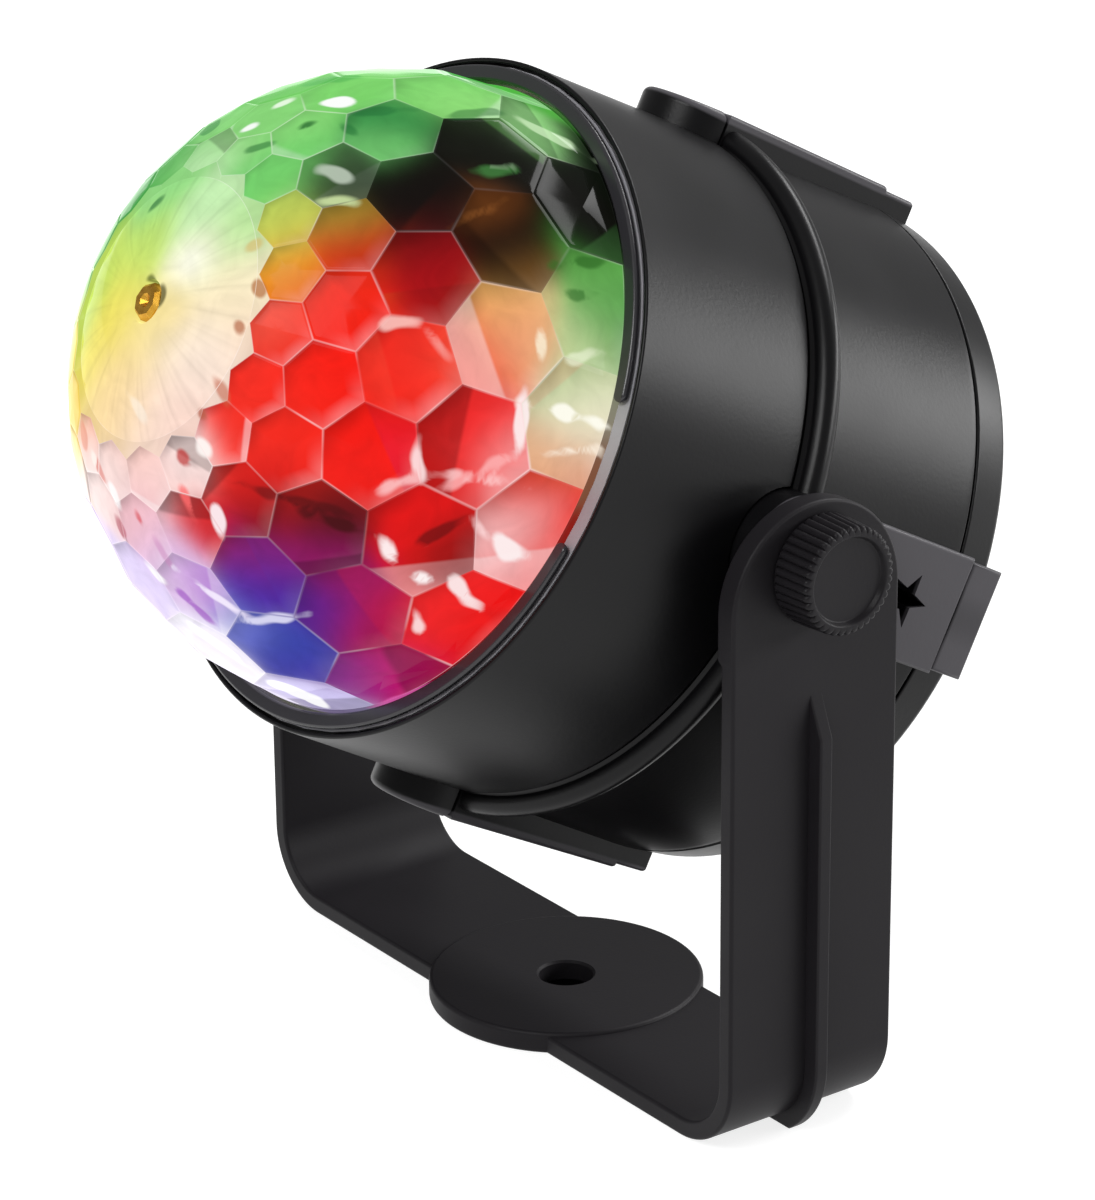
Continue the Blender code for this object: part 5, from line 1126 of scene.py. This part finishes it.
# Painted glints and streaks: white glints are painted reflections of the studio lamps in the
# facets, and the light streaks and the dark streaks of painted shade are where a facet's edge or
# another facet behind it shows. Each: place as above, size across and along, turn of the long
# side, strength and colour.
GLINTS_AND_STREAKS = [
    (49, 5, 2.2, 3.4, -42, 0.95, "#ffffff"), (36, -9, 1.4, 2.3, -49, 0.9, "#ffffff"),
    (44, -9, 1.5, 2.5, -42, 0.8, "#f4ffee"), (83, 24, 1.9, 7.0, -60, 0.6, "#d8f8c8"),
    (68, 37, 1.7, 4.7, -91, 0.8, "#3f7a3c"), (68, 36, 1.0, 3.0, -100, 0.6, "#9cc894"),
    (40, 31, 1.6, 3.5, -44, 0.75, "#c4d2c0"), (39, 41, 1.0, 4.3, -69, 0.9, "#c8dca0"),
    (41, 9, 1.1, 2.1, -81, 0.85, "#1f6a2c"), (33, 5, 1.0, 2.5, -56, 0.7, "#2c7a3a"),
    (54, 15, 1.4, 4.0, -69, 0.5, "#1a6a34"), (21, -41, 1.4, 2.2, -21, 0.8, "#2c7a3c"),
    (34, -83, 1.0, 2.5, -6, 0.8, "#3a6c2c"), (83, 81, 1.0, 7.6, -94, 0.95, "#fffdf0"),
    (84, 87, 1.0, 5.3, -110, 0.9, "#fff2e0"), (82, 71, 1.0, 4.3, -117, 0.6, "#e8f0d0"),
    (81, 54, 1.0, 4.9, -109, 0.75, "#2e6a24"), (81, 60, 1.0, 4.7, -108, 0.7, "#34702c"),
    (74, 71, 1.0, 2.8, -10, 0.7, "#fff6dc"), (65, 117, 1.3, 2.8, -59, 0.95, "#fff0f0"),
    (72, 118, 1.0, 2.9, -115, 0.95, "#fff4f4"), (80, 117, 1.6, 5.4, -70, 0.95, "#fbe6e6"),
    (77, 126, 1.0, 4.1, -51, 0.8, "#ffe8e8"), (82, 106, 1.9, 4.7, -74, 0.92, "#fdf0f0"),
    (76, 105, 1.0, 3.1, -60, 0.8, "#ffd8d8"), (70, 96, 1.0, 5.7, -140, 0.75, "#ffb4b4"),
    (74, 85, 1.0, 4.5, -15, 0.9, "#fff0f0"), (71, 97, 1.0, 5.9, -104, 0.8, "#ffc8c8"),
    (50, 73, 1.0, 3.1, -112, 0.8, "#ffc8c0"), (57, 76, 1.0, 2.6, -45, 0.5, "#ffb8b0"),
    (60, 98, 1.0, 2.9, -32, 0.85, "#ffe4e4"), (59, 104, 1.0, 3.5, -138, 0.7, "#ffd0d0"),
    (41, 141, 1.2, 3.1, -66, 0.9, "#fff0f4"), (36, 147, 1.0, 2.8, -88, 0.8, "#ff6a6a"),
    (29, 131, 1.3, 2.7, -90, 0.95, "#fff6f2"), (29, 141, 1.1, 1.5, -86, 0.8, "#c01010"),
    (46, 121, 1.0, 13.9, -119, 0.55, "#3a0a0c"), (53, 119, 1.4, 6.2, -113, 0.85, "#420a0e"),
    (70, 108, 1.0, 4.7, -154, 0.7, "#5a0608"), (61, 147, 1.0, 6.1, -166, 0.8, "#e8e6fc"),
    (53, 157, 1.0, 6.7, -132, 0.9, "#f6ecff"), (65, 169, 2.7, 6.3, -115, 0.95, "#ffffff"),
    (82, 164, 3.5, 6.7, -96, 0.9, "#ffffff"), (49, 173, 1.5, 3.0, -148, 0.8, "#ffffff"),
    (56, 165, 1.3, 4.5, -123, 0.7, "#9a3ac0"), (35, -178, 1.3, 2.6, -131, 0.8, "#ffffff"),
    (31, -165, 1.3, 1.9, -141, 0.7, "#fff4ec"), (18, 164, 1.0, 3.5, -139, 0.5, "#fff6e8"),
    (91, 146, 1.3, 9.7, -1, 0.7, "#e060b0"), (34, -83, 3.5, 2.6, -7, 0.85, "#2c5c20"),
    (34, -95, 3.3, 2.2, -32, 0.8, "#3a6a20"), (36, -68, 1.0, 2.2, -19, 0.8, "#1e5c2a"),
    (40, -54, 1.0, 2.3, -31, 0.7, "#2a7a3a"), (40, -32, 4.1, 2.2, -33, 0.7, "#2a8a3a"),
    (3, -14, 1.2, 1.9, -88, 0.8, "#4c5a14"), (3, -178, 1.0, 1.9, 137, 0.75, "#5c5a10"),
    (4, 75, 1.0, 1.8, -171, 0.8, "#3c3a08"), (56, -10, 3.0, 6.2, -22, 0.5, "#3fae4a"),
    (80, -2, 4.1, 8.2, -84, 0.5, "#46b04c"), (70, 20, 1.7, 6.8, -103, 0.6, "#1f6a30"),
    (46, 18, 1.0, 2.9, -12, 0.6, "#1c7034"), (30, -154, 1.9, 2.4, -135, 0.6, "#e08060"),
    (32, -169, 1.4, 2.6, -138, 0.6, "#d86050"), (42, -177, 1.6, 2.2, -111, 0.7, "#b03050"),
    (38, 171, 1.0, 1.9, -95, 0.7, "#d82838"), (44, 166, 1.0, 2.3, -101, 0.5, "#c880b8"),
    (25, 67, 1.0, 1.6, -35, 0.8, "#b87038"), (23, 84, 1.0, 1.3, -58, 0.8, "#b86840"),
    (25, 111, 1.0, 2.5, -75, 0.7, "#c86a4a"), (25, 124, 1.0, 1.2, -87, 0.8, "#b86048"),
    (24, 47, 1.0, 1.6, -88, 0.6, "#d8b868"), (63, 47, 1.0, 5.2, -121, 0.5, "#8a5224"),
    (94, 82, 1.0, 2.9, -7, 0.6, "#f0f0e0"),
]


def direction(polar, azimuth):
    """Unit direction of angles in degrees from the axis and from the top towards +X."""
    polar, azimuth = np.radians(polar), np.radians(azimuth)
    flat = np.sin(polar)
    return np.stack([flat * np.sin(azimuth), flat * np.cos(azimuth), np.cos(polar)], axis=-1)


def glow_at(points, patches):
    """Light seen at points of the ball: the mean of the patches' colours.

    Each is weighed by exp(-(angle / spread) squared), for its angle from the point.
    """
    polar, azimuth, spread = np.array([patch[:3] for patch in patches], float).T
    colours = np.array([linear(patch[3]) for patch in patches])
    out = points - ball
    out /= np.linalg.norm(out, axis=-1, keepdims=True)
    angle = np.degrees(np.arccos(np.clip(out @ direction(polar, azimuth).T, -1, 1)))
    weight = np.exp(-(angle / spread) ** 2) + FAR_WEIGHT * np.exp(-angle / FAR_SPREAD)
    return weight @ colours / weight.sum(axis=-1, keepdims=True)


def glints_and_streaks_at(points):
    """The nearest of the painted glints and streaks at each point of the ball: how far inside it, and
    its colour.

    A mark is an ellipse with u along it and v across it. Inside, 1 - sqrt((u / along) squared +
    (v / across) squared) is more than 0, and times the half width it is nearly a distance in degrees.
    """
    out = points - ball
    out /= np.linalg.norm(out, axis=-1, keepdims=True)
    inside = np.full(len(points), -GLINT_STREAK_REACH)
    glint_streak_tone = np.zeros((len(points), 4))
    for polar, azimuth, across_size, along_size, turn, strength, code in GLINTS_AND_STREAKS:
        middle = direction(polar, azimuth)
        east = direction(90, azimuth + 90)
        south = np.cross(east, middle)
        x, y = np.degrees(out @ east), np.degrees(out @ south)
        cos, sin = math.cos(math.radians(turn)), math.sin(math.radians(turn))
        u, v = x * cos + y * sin, y * cos - x * sin
        depth = (1 - np.hypot(u / along_size, v / across_size)) * across_size
        nearest = (depth > inside) & (out @ middle > 0)
        inside = np.where(nearest, depth, inside)
        glint_streak_tone[nearest] = (*linear(code), strength)
    return inside, glint_streak_tone


print("laid out", len(GLOW_PATCHES) + len(CAP_PATCHES), "patches of light and", len(GLINTS_AND_STREAKS), "marks")

# %% [markdown]
# ## Building the dome
#
# Each facet also gets a second tone on one side of a straight line across it, because a prism
# shows its neighbour's light past the line where its inner face ends. The line is stored as a
# signed distance, which a shader can turn into a crisp edge that the mesh alone is too coarse
# for. A facet's sloping edge gets a painted highlight low on the right of the view and painted
# shade high on the left. All of this is kept on the face corners, so that two facets that share an
# edge keep apart.

# %% Light of a row of facets
TILE_SHARE = 0.7                      # how much of the light's own shading shows inside a facet
JITTER = 0.8                          # mm, how far a facet looks past its own middle
OTHER_REACH = 7.0                     # mm, how far off the light past a facet's line comes from
OTHER_SHARE = 0.15
LIT_SIDE = np.array([0.62, -0.50, -0.61])   # the side of a facet whose sloping edge catches light
SLOPE_START = 0.6                     # where the slope begins, of the way to the outline
SLOPE_FADE = 0.35
SLOPE_HIGHLIGHT = 0.16
SLOPE_SHADE = 0.4
PALER = 0.3                           # how much paler a facet's second tone is
DEEPER = 0.6                          # or what share of its light is left
PALER_UP_TO = 0.3                     # of all facets, these are paler past their line
DEEPER_UP_TO = 0.6                    # and the ones from there to here are deeper
LINE_NEAREST, LINE_FARTHEST = 0.6, 4.5   # mm from a facet's middle to its line


def facet_paint(points, centres, chance):
    """Colours and line of every facet of a row, for points (facet, ring, point, xyz)."""
    count = len(centres)
    aim = centres + chance.normal(0, JITTER, (count, 3))
    middle = aim[:, None, None]
    offset = points - centres[:, None, None]
    glow = glow_at(middle + offset * TILE_SHARE, GLOW_PATCHES)
    shift = (centres + chance.normal(0, OTHER_REACH, (count, 3)))[:, None, None]
    other = glow_at(shift + offset * TILE_SHARE, GLOW_PATCHES)
    facing = (offset / np.maximum(np.linalg.norm(offset, axis=-1, keepdims=True), WELD)) @ LIT_SIDE
    slope = np.clip((FACET_RINGS[None, :, None] - SLOPE_START) / SLOPE_FADE, 0, 1)
    level = glow.max(axis=-1, keepdims=True)
    # Painted highlight on the side of the sloping edge that faces LIT_SIDE, painted shade on the other
    # side.
    glow = glow + (1 - glow) * level * SLOPE_HIGHLIGHT * (slope * np.clip(facing, 0, 1) ** 3)[..., None]
    glow = glow * (1 - SLOPE_SHADE * (slope * np.clip(-facing, 0, 1) ** 2)[..., None])
    paler = glow + (1 - glow) * PALER * level
    mixed = (1 - OTHER_SHARE) * glow + OTHER_SHARE * other
    kind = chance.random(count)[:, None, None, None]
    shard = np.where(kind < PALER_UP_TO, paler, np.where(kind < DEEPER_UP_TO, glow * DEEPER, mixed))
    lean = chance.normal(0, 1, (count, 3))
    lean /= np.linalg.norm(lean, axis=1, keepdims=True)
    away = chance.uniform(LINE_NEAREST, LINE_FARTHEST, count)[:, None, None]
    cut = np.einsum("krpi,ki->krp", offset, lean) + away
    return glow, shard, cut


print("facets look up to about", 2 * JITTER, "mm past their own middles")

# %% [markdown]
# ## The dome's grids
#
# There are five rows of facets, the border that leads from their zigzag edge to the round cap, the
# turned cap with its inside, and a skirt that closes the foot. They could be modelled apart, but
# then their seams would catch the light. So each grid starts on the very points where the one
# before it ends. The fine streaks in the cap are a sum of waves round the axis.

# %% Grids of the dome
SEED = 11
FAR_CUT = 9.0                         # mm, a line too far off to show
BORDER_RINGS = 7
BORDER_EDGE_SCALE = 4.0               # draws the lines on the border as thin as a facet's
BORDER_SHADE = 0.9
STREAK_TURNS = (23, 31, 44, 57, 75, 90)
STREAK_LEAST = 0.3
STREAK_SUM = 3.2
STREAK_DEPTH = 0.12
STREAK_START = 7.0                    # degrees from the axis
STREAK_FADE = 9.0
RIM_LINE_FADE = math.radians(4.0)
SKIRT_EASE = 0.25
SKIRT_SHADE = 0.3


def make_dome():
    """The dome as one closed shell: facets, cap border, cap with recess and hub, wall and foot."""
    chance = np.random.default_rng(SEED)
    points, faces, start = [], [], 0
    looks = {"glow": [], "shard": [], "cut": [], "edge": []}

    def keep(grid, quads, glow, shard, cut, edge):
        """Adds a grid with its colours and distances, each for every point or one for all."""
        nonlocal start
        count = grid.size // 3
        points.append(grid.reshape(count, 3))
        faces.append(np.asarray(quads) + start)
        start += count
        for name, value in (("glow", glow), ("shard", shard)):
            looks[name].append(np.broadcast_to(value, grid.shape).reshape(count, 3))
        for name, value in (("cut", cut), ("edge", edge)):
            looks[name].append(np.broadcast_to(value, grid.shape[:-1]).reshape(count))

    for row in range(FACET_ROWS):
        grid, centres = facet_row(row)
        glow, shard, cut = facet_paint(grid, centres, chance)
        rings, around = grid.shape[1:3]
        one = np.asarray(grid_faces(rings, around, close_columns=True))
        quads = (one[None] + np.arange(FACETS_ROUND)[:, None, None] * rings * around).reshape(-1, 4)
        keep(grid, quads, glow, shard, cut, 1 - FACET_RINGS[None, :, None])

    column = np.arange(columns_round) / EDGE_POINTS
    azimuth = FACET_PHASE + math.pi * column / FACETS_ROUND
    corner = np.arange(2 * FACETS_ROUND + 1)
    chain = straight_sides(list(honeycomb(3 * FACET_ROWS - corner % 2, corner)))
    zigzag = sunk(chain, FACET_EDGE_SINK)
    circle = ball_point(np.full(columns_round, CAP_POLAR), azimuth, DOME_RADIUS - CAP_SINK)
    share = np.linspace(0, 1, BORDER_RINGS)[:, None]
    border = zigzag + (circle - zigzag) * share[..., None]
    glow = glow_at(border, CAP_PATCHES)
    keep(border, grid_faces(BORDER_RINGS, columns_round, close_columns=True), glow * BORDER_SHADE,
         glow, FAR_CUT, BORDER_EDGE_SCALE * np.minimum(share, 1 - share))

    radius, height = cap_profile().T
    cap = np.stack([radius[:, None] * np.sin(azimuth), radius[:, None] * np.cos(azimuth),
                    height[:, None] + 0 * azimuth], axis=-1)
    glow = glow_at(cap, CAP_PATCHES)
    streak = sum(chance.uniform(STREAK_LEAST, 1) * np.sin(azimuth * turns + chance.uniform(0, math.tau))
                 for turns in STREAK_TURNS) / STREAK_SUM
    out = cap - ball
    far = np.degrees(np.arccos(np.clip(out[..., 2] / np.linalg.norm(out, axis=-1), -1, 1)))
    outer = np.clip((far - STREAK_START) / STREAK_FADE, 0, 1)
    shade = 1 - STREAK_DEPTH * np.clip(streak, 0, 1) * outer
    keep(cap, grid_faces(*cap.shape[:2], close_columns=True), glow * shade[..., None], glow, FAR_CUT,
         np.clip((CAP_POLAR - np.radians(far)) / RIM_LINE_FADE, 0, 1))

    radius, height = np.array([
        (DOME_RADIUS - FACET_EDGE_SINK, DOME_AHEAD), (DOME_RADIUS, DOME_AHEAD - SKIRT_EASE),
        (DOME_RADIUS, DOME_FOOT), (DOME_RADIUS - DOME_WALL, DOME_FOOT)]).T
    skirt = np.stack([radius[:, None] * np.sin(azimuth), radius[:, None] * np.cos(azimuth),
                      height[:, None] + 0 * azimuth], axis=-1)
    glow = glow_at(skirt, GLOW_PATCHES) * SKIRT_SHADE
    keep(skirt, grid_faces(*skirt.shape[:2], close_columns=True), glow, glow, FAR_CUT, 1.0)
    return points, faces, looks


print("the cap has streaks of", len(STREAK_TURNS), "waves")

# %% [markdown]
# ## The dome as one mesh
#
# The grids meet point for point, so they could be joined as they are, but a moulded dome is one
# closed skin. So they go into one mesh, their doubled points are merged, and the number of open
# edges is printed, which has to be nought. The colours are written before the merge, since they
# belong to the face corners and stay with them.

# %% Dome mesh
# The bright lines along the facets' edges are painted highlights, whose colour goes towards this pale
# tone.
EDGE_HIGHLIGHT_TONE = np.array([1.0, 0.93, 0.93])    # what a bright edge line goes towards
EDGE_HIGHLIGHT_SHARE = 0.5
EDGE_HIGHLIGHT_POWER = 0.8
EDGE_HIGHLIGHT_FLOOR = 0.01


def mesh_dome():
    """Puts the grids into one mesh with their looks on the face corners, and welds it shut."""
    points, faces, looks = make_dome()
    points, faces = np.concatenate(points), np.concatenate(faces)
    mesh = bpy.data.meshes.new("faceted_dome")
    mesh.from_pydata(points.tolist(), [], faces.tolist())
    corner = faces.ravel()
    glow, shard = np.concatenate(looks["glow"]), np.concatenate(looks["shard"])
    level = glow.max(axis=1, keepdims=True)
    ridge = glow + (EDGE_HIGHLIGHT_TONE - glow) * EDGE_HIGHLIGHT_SHARE * level ** EDGE_HIGHLIGHT_POWER + EDGE_HIGHLIGHT_FLOOR
    inside, glint_streak_tone = glints_and_streaks_at(points)
    for name, value in {"glow": glow, "shard": shard, "ridge": ridge, "glint_streak_tone": glint_streak_tone}.items():
        full = value if value.shape[1] == 4 else np.concatenate([value, np.ones_like(level)], axis=1)
        layer = mesh.color_attributes.new(name, "FLOAT_COLOR", "CORNER")
        layer.data.foreach_set("color", full[corner].ravel())
    for name, value in {"cut": np.concatenate(looks["cut"]), "edge": np.concatenate(looks["edge"]),
                        "inside": inside}.items():
        layer = mesh.attributes.new(name, "FLOAT", "CORNER")
        layer.data.foreach_set("value", value[corner].ravel())
    shape = bmesh.new()
    shape.from_mesh(mesh)
    bmesh.ops.remove_doubles(shape, verts=shape.verts, dist=WELD)
    bmesh.ops.recalc_face_normals(shape, faces=shape.faces)
    open_edges = sum(not edge.is_manifold for edge in shape.edges)
    shape.to_mesh(mesh)
    shape.free()
    print("dome of", len(mesh.polygons), "faces,", open_edges, "open edges")
    dome = bpy.data.objects.new("faceted_dome", mesh)
    bpy.context.scene.collection.objects.link(dome)
    return dome


# %% [markdown]
# ## Clear moulded polystyrene with light in it
#
# The dome is clear polystyrene, polished in the tool: smooth, hard highlights over a bright inside.
# Its own light is written as emission from the painted patches. A swirl breaks up each tile as
# the thick wall does, the painted glints and streaks are drawn over it with outlines that the same
# waves bend, and broken bright lines of painted highlight follow the facets' edges. The gloss on
# top comes from the shader alone.

# %% Finish of the dome
GLOW_LEVEL = 1.0
LINE_WIDTH_SHARE = 0.045
LINE_PATCH_SIZE = 9.0                 # mm, how long the bright stretches of the edge lines are
LINE_PATCH_RANGE = (0.42, 0.66)       # the noise's values from faint to bright
LINE_FAINT = 0.1
CUT_SOFTNESS = 0.22                   # mm
SWIRL_SIZE = 5.0                      # mm
SWIRL_DISTORTION = 1.6
SWIRL_RANGE = (0.92, 1.05)
RIPPLE_SIZE = 3.0                     # mm
GLINT_STREAK_SOFTNESS = 0.6                   # degrees on the ball
GLINT_STREAK_BEND = 1.2                       # degrees, how far the thick wall's waves bend a mark's outline


def lit_polystyrene():
    """Painted light, a second tone past each facet's line, painted glints and streaks, painted
    highlights on the facet edges, and a gloss.
    """
    material, tree, shader = blank("clear_polystyrene")
    place = add(tree, "TexCoord").outputs["Object"]
    read = {name: add(tree, "Attribute", {"attribute_name": name})
            for name in ("glow", "shard", "ridge", "glint_streak_tone", "cut", "edge", "inside")}
    past = add(tree, "MapRange", {"interpolation_type": "SMOOTHSTEP", "From Min": -CUT_SOFTNESS,
                                  "From Max": CUT_SOFTNESS}, Value=read["cut"].outputs["Fac"])
    tile = add(tree, "Mix", {"data_type": "RGBA"}, _0=past.outputs[0],
               _6=read["shard"].outputs["Color"], _7=read["glow"].outputs["Color"])
    swirl = add(tree, "TexNoise", {"Scale": 1 / (SWIRL_SIZE * MM), "Detail": 3.0,
                                   "Distortion": SWIRL_DISTORTION}, Vector=place)
    uneven = add(tree, "MapRange", {"From Min": NOISE_LOW, "From Max": NOISE_HIGH,
                                    "To Min": SWIRL_RANGE[0], "To Max": SWIRL_RANGE[1]},
                 Value=swirl.outputs[0])
    broken = add(tree, "VectorMath", {"operation": "SCALE"}, Vector=tile.outputs[2],
                 Scale=uneven.outputs[0])
    ripple = add(tree, "TexNoise", {"Scale": 1 / (RIPPLE_SIZE * MM), "Detail": 0.0}, Vector=place)
    bend = add(tree, "MapRange", {"To Min": -GLINT_STREAK_BEND, "To Max": GLINT_STREAK_BEND}, Value=ripple.outputs[0])
    depth = add(tree, "Math", {"operation": "ADD"}, _0=read["inside"].outputs["Fac"],
                _1=bend.outputs[0])
    glint_streak = add(tree, "MapRange", {"interpolation_type": "SMOOTHSTEP", "From Min": -GLINT_STREAK_SOFTNESS / 2,
                                  "From Max": GLINT_STREAK_SOFTNESS}, Value=depth.outputs[0])
    cover = add(tree, "Math", {"operation": "MULTIPLY"}, _0=glint_streak.outputs[0],
                _1=read["glint_streak_tone"].outputs["Alpha"])
    with_glints_streaks = add(tree, "Mix", {"data_type": "RGBA"}, _0=cover.outputs[0], _6=broken.outputs[0],
                 _7=read["glint_streak_tone"].outputs["Color"])
    # Painted highlights: bright lines along the facets' edges, broken into stretches by a noise.
    line = add(tree, "MapRange", {"interpolation_type": "SMOOTHSTEP", "From Min": 0.0,
                                  "From Max": LINE_WIDTH_SHARE, "To Min": 1.0, "To Max": 0.0},
               Value=read["edge"].outputs["Fac"])
    patchy = add(tree, "TexNoise", {"Scale": 1 / (LINE_PATCH_SIZE * MM), "Detail": 1.0}, Vector=place)
    strength = add(tree, "MapRange", {"From Min": LINE_PATCH_RANGE[0], "From Max": LINE_PATCH_RANGE[1],
                                      "To Min": LINE_FAINT, "To Max": 1.0}, Value=patchy.outputs[0])
    drawn = add(tree, "Math", {"operation": "MULTIPLY"}, _0=line.outputs[0], _1=strength.outputs[0])
    lit = add(tree, "Mix", {"data_type": "RGBA"}, _0=drawn.outputs[0], _6=with_glints_streaks.outputs[2],
              _7=read["ridge"].outputs["Color"])
    tree.links.new(lit.outputs[2], shader.inputs["Emission Color"])
    shader.inputs["Emission Strength"].default_value = GLOW_LEVEL
    shader.inputs["Base Color"].default_value = paint("#050404")
    shader.inputs["Roughness"].default_value = 0.08
    shader.inputs["Specular IOR Level"].default_value = 0.04
    return material


finish(mesh_dome(), lit_polystyrene(), HEAD_BENCH, "dome", "dome_shell", 9.0)

# %% [markdown]
# ## Metals and the pieces inside
#
# The pieces that hardly show keep their solids. Zinc-plated steel, turned brass and aluminium get
# a slight mottle in their colour and gloss, the circuit boards get a green mask with fine
# unevenness, and the lamps glow in their colours.

# %% Finishes of the inner pieces
CHIP_GRAIN = 1.5                      # mm


def metal(name, dark, light, gloss, grain):
    """Bare or plated metal with fine marks of the tool in its gloss, their grain in millimetres."""
    material, tree, shader = blank(name)
    place = add(tree, "TexCoord").outputs["Object"]
    marks = add(tree, "TexNoise", {"Scale": 1 / (grain * MM), "Detail": 4.0}, Vector=place)
    tint = add(tree, "Mix", {"data_type": "RGBA", 6: paint(dark), 7: paint(light)},
               _0=marks.outputs[0])
    worn = add(tree, "MapRange", {"To Min": gloss[0], "To Max": gloss[1]}, Value=marks.outputs[0])
    shader.inputs["Metallic"].default_value = 1.0
    tree.links.new(tint.outputs[2], shader.inputs["Base Color"])
    tree.links.new(worn.outputs[0], shader.inputs["Roughness"])
    return material


def lamp_chip(name, code):
    """A glowing lamp: its colour goes unevenly towards white, by a soft noise."""
    material, tree, shader = blank(name)
    place = add(tree, "TexCoord").outputs["Object"]
    spots = add(tree, "TexNoise", {"Scale": 1 / (CHIP_GRAIN * MM)}, Vector=place)
    tint = add(tree, "Mix", {"data_type": "RGBA", 6: paint(code), 7: paint("#ffffff")},
               _0=spots.outputs[0])
    tree.links.new(tint.outputs[2], shader.inputs["Emission Color"])
    shader.inputs["Emission Strength"].default_value = 1.0
    return material


# Plated steel is pale and cool, yellow zinc a warm gold, brass a duller one, aluminium the palest.
steel = metal("zinc_plated_steel", "#a9abb0", "#c9cbd0", (0.25, 0.4), 0.8)
yellow_steel = metal("yellow_zinc_steel", "#b87a18", "#f0c050", (0.3, 0.5), 0.8)
brass = metal("turned_brass", "#b08a4a", "#d0aa62", (0.25, 0.4), 0.6)
aluminium = metal("turned_aluminium", "#b9bbbe", "#d2d4d7", (0.3, 0.45), 0.7)
# Grey ABS: the pale band that shows in the ring's gap, satin and a little mottled.
plate_abs = moulded("plate_abs", "#8e8d92", "#a5a4a9", (0.4, 0.5))
# Solder mask: a green lacquer with an uneven gloss.
board = moulded("solder_mask", "#10401f", "#1a5a2c", (0.3, 0.45))
# Rubber: near black and dull, with a coarser relief than the plastics.
rubber = moulded("moulded_rubber", "#141414", "#1c1c1c", (0.6, 0.75), relief=0.05)
# Polyester tape: the yellow wrap of a small transformer, with a soft shine.
tape = moulded("polyester_tape", "#c89a18", "#dcb030", (0.3, 0.4))
# Epoxy: the dull black of chips and other bought components.
component = moulded("epoxy_moulding", "#101012", "#18181a", (0.4, 0.55))
# Milky acrylic: nearly white and smooth, for the lenses, the post and the button's plunger.
milky = moulded("milky_acrylic", "#d8d8d2", "#e6e6e0", (0.2, 0.3))
INNER_FINISHES = {
    "lamp_plate": plate_abs, "led_board": board, "driver_board": board, "heat_sink": aluminium,
    "heat_sink_screw": steel, "motor": steel, "driver_screw": steel, "housing_screw": steel,
    "cover_screw": steel, "dome_screw": yellow_steel, "stud": steel, "washer": steel,
    "pivot_insert": brass, "transformer": tape, "capacitor": component,
    "controller_chip": component, "button_switch": component, "mode_button": component,
    "switch_plunger": milky, "microphone": aluminium, "cord_bushing": rubber, "drive_post": milky,
    "led_lens": milky, "led_red": lamp_chip("red_lamp", "#ff2010"),
    "led_green": lamp_chip("green_lamp", "#20ff40"), "led_blue": lamp_chip("blue_lamp", "#3040ff"),
}
# The keys are starts of node names, and the longest that fits a node counts.
dressed = 0
for node_name, solid in frame["nodes"].items():
    fitting = [start for start in INNER_FINISHES if node_name.startswith(start)]
    if fitting and not solid.hide_render:
        for holder in solid.material_slots:
            holder.material = INNER_FINISHES[max(fitting, key=len)]
        dressed += 1
print("dressed", dressed, "inner solids")

# %% [markdown]
# ## The last setting
#
# The renderer's view transform is set to Standard.

# %% View transform
bpy.context.scene.view_settings.view_transform = "Standard"
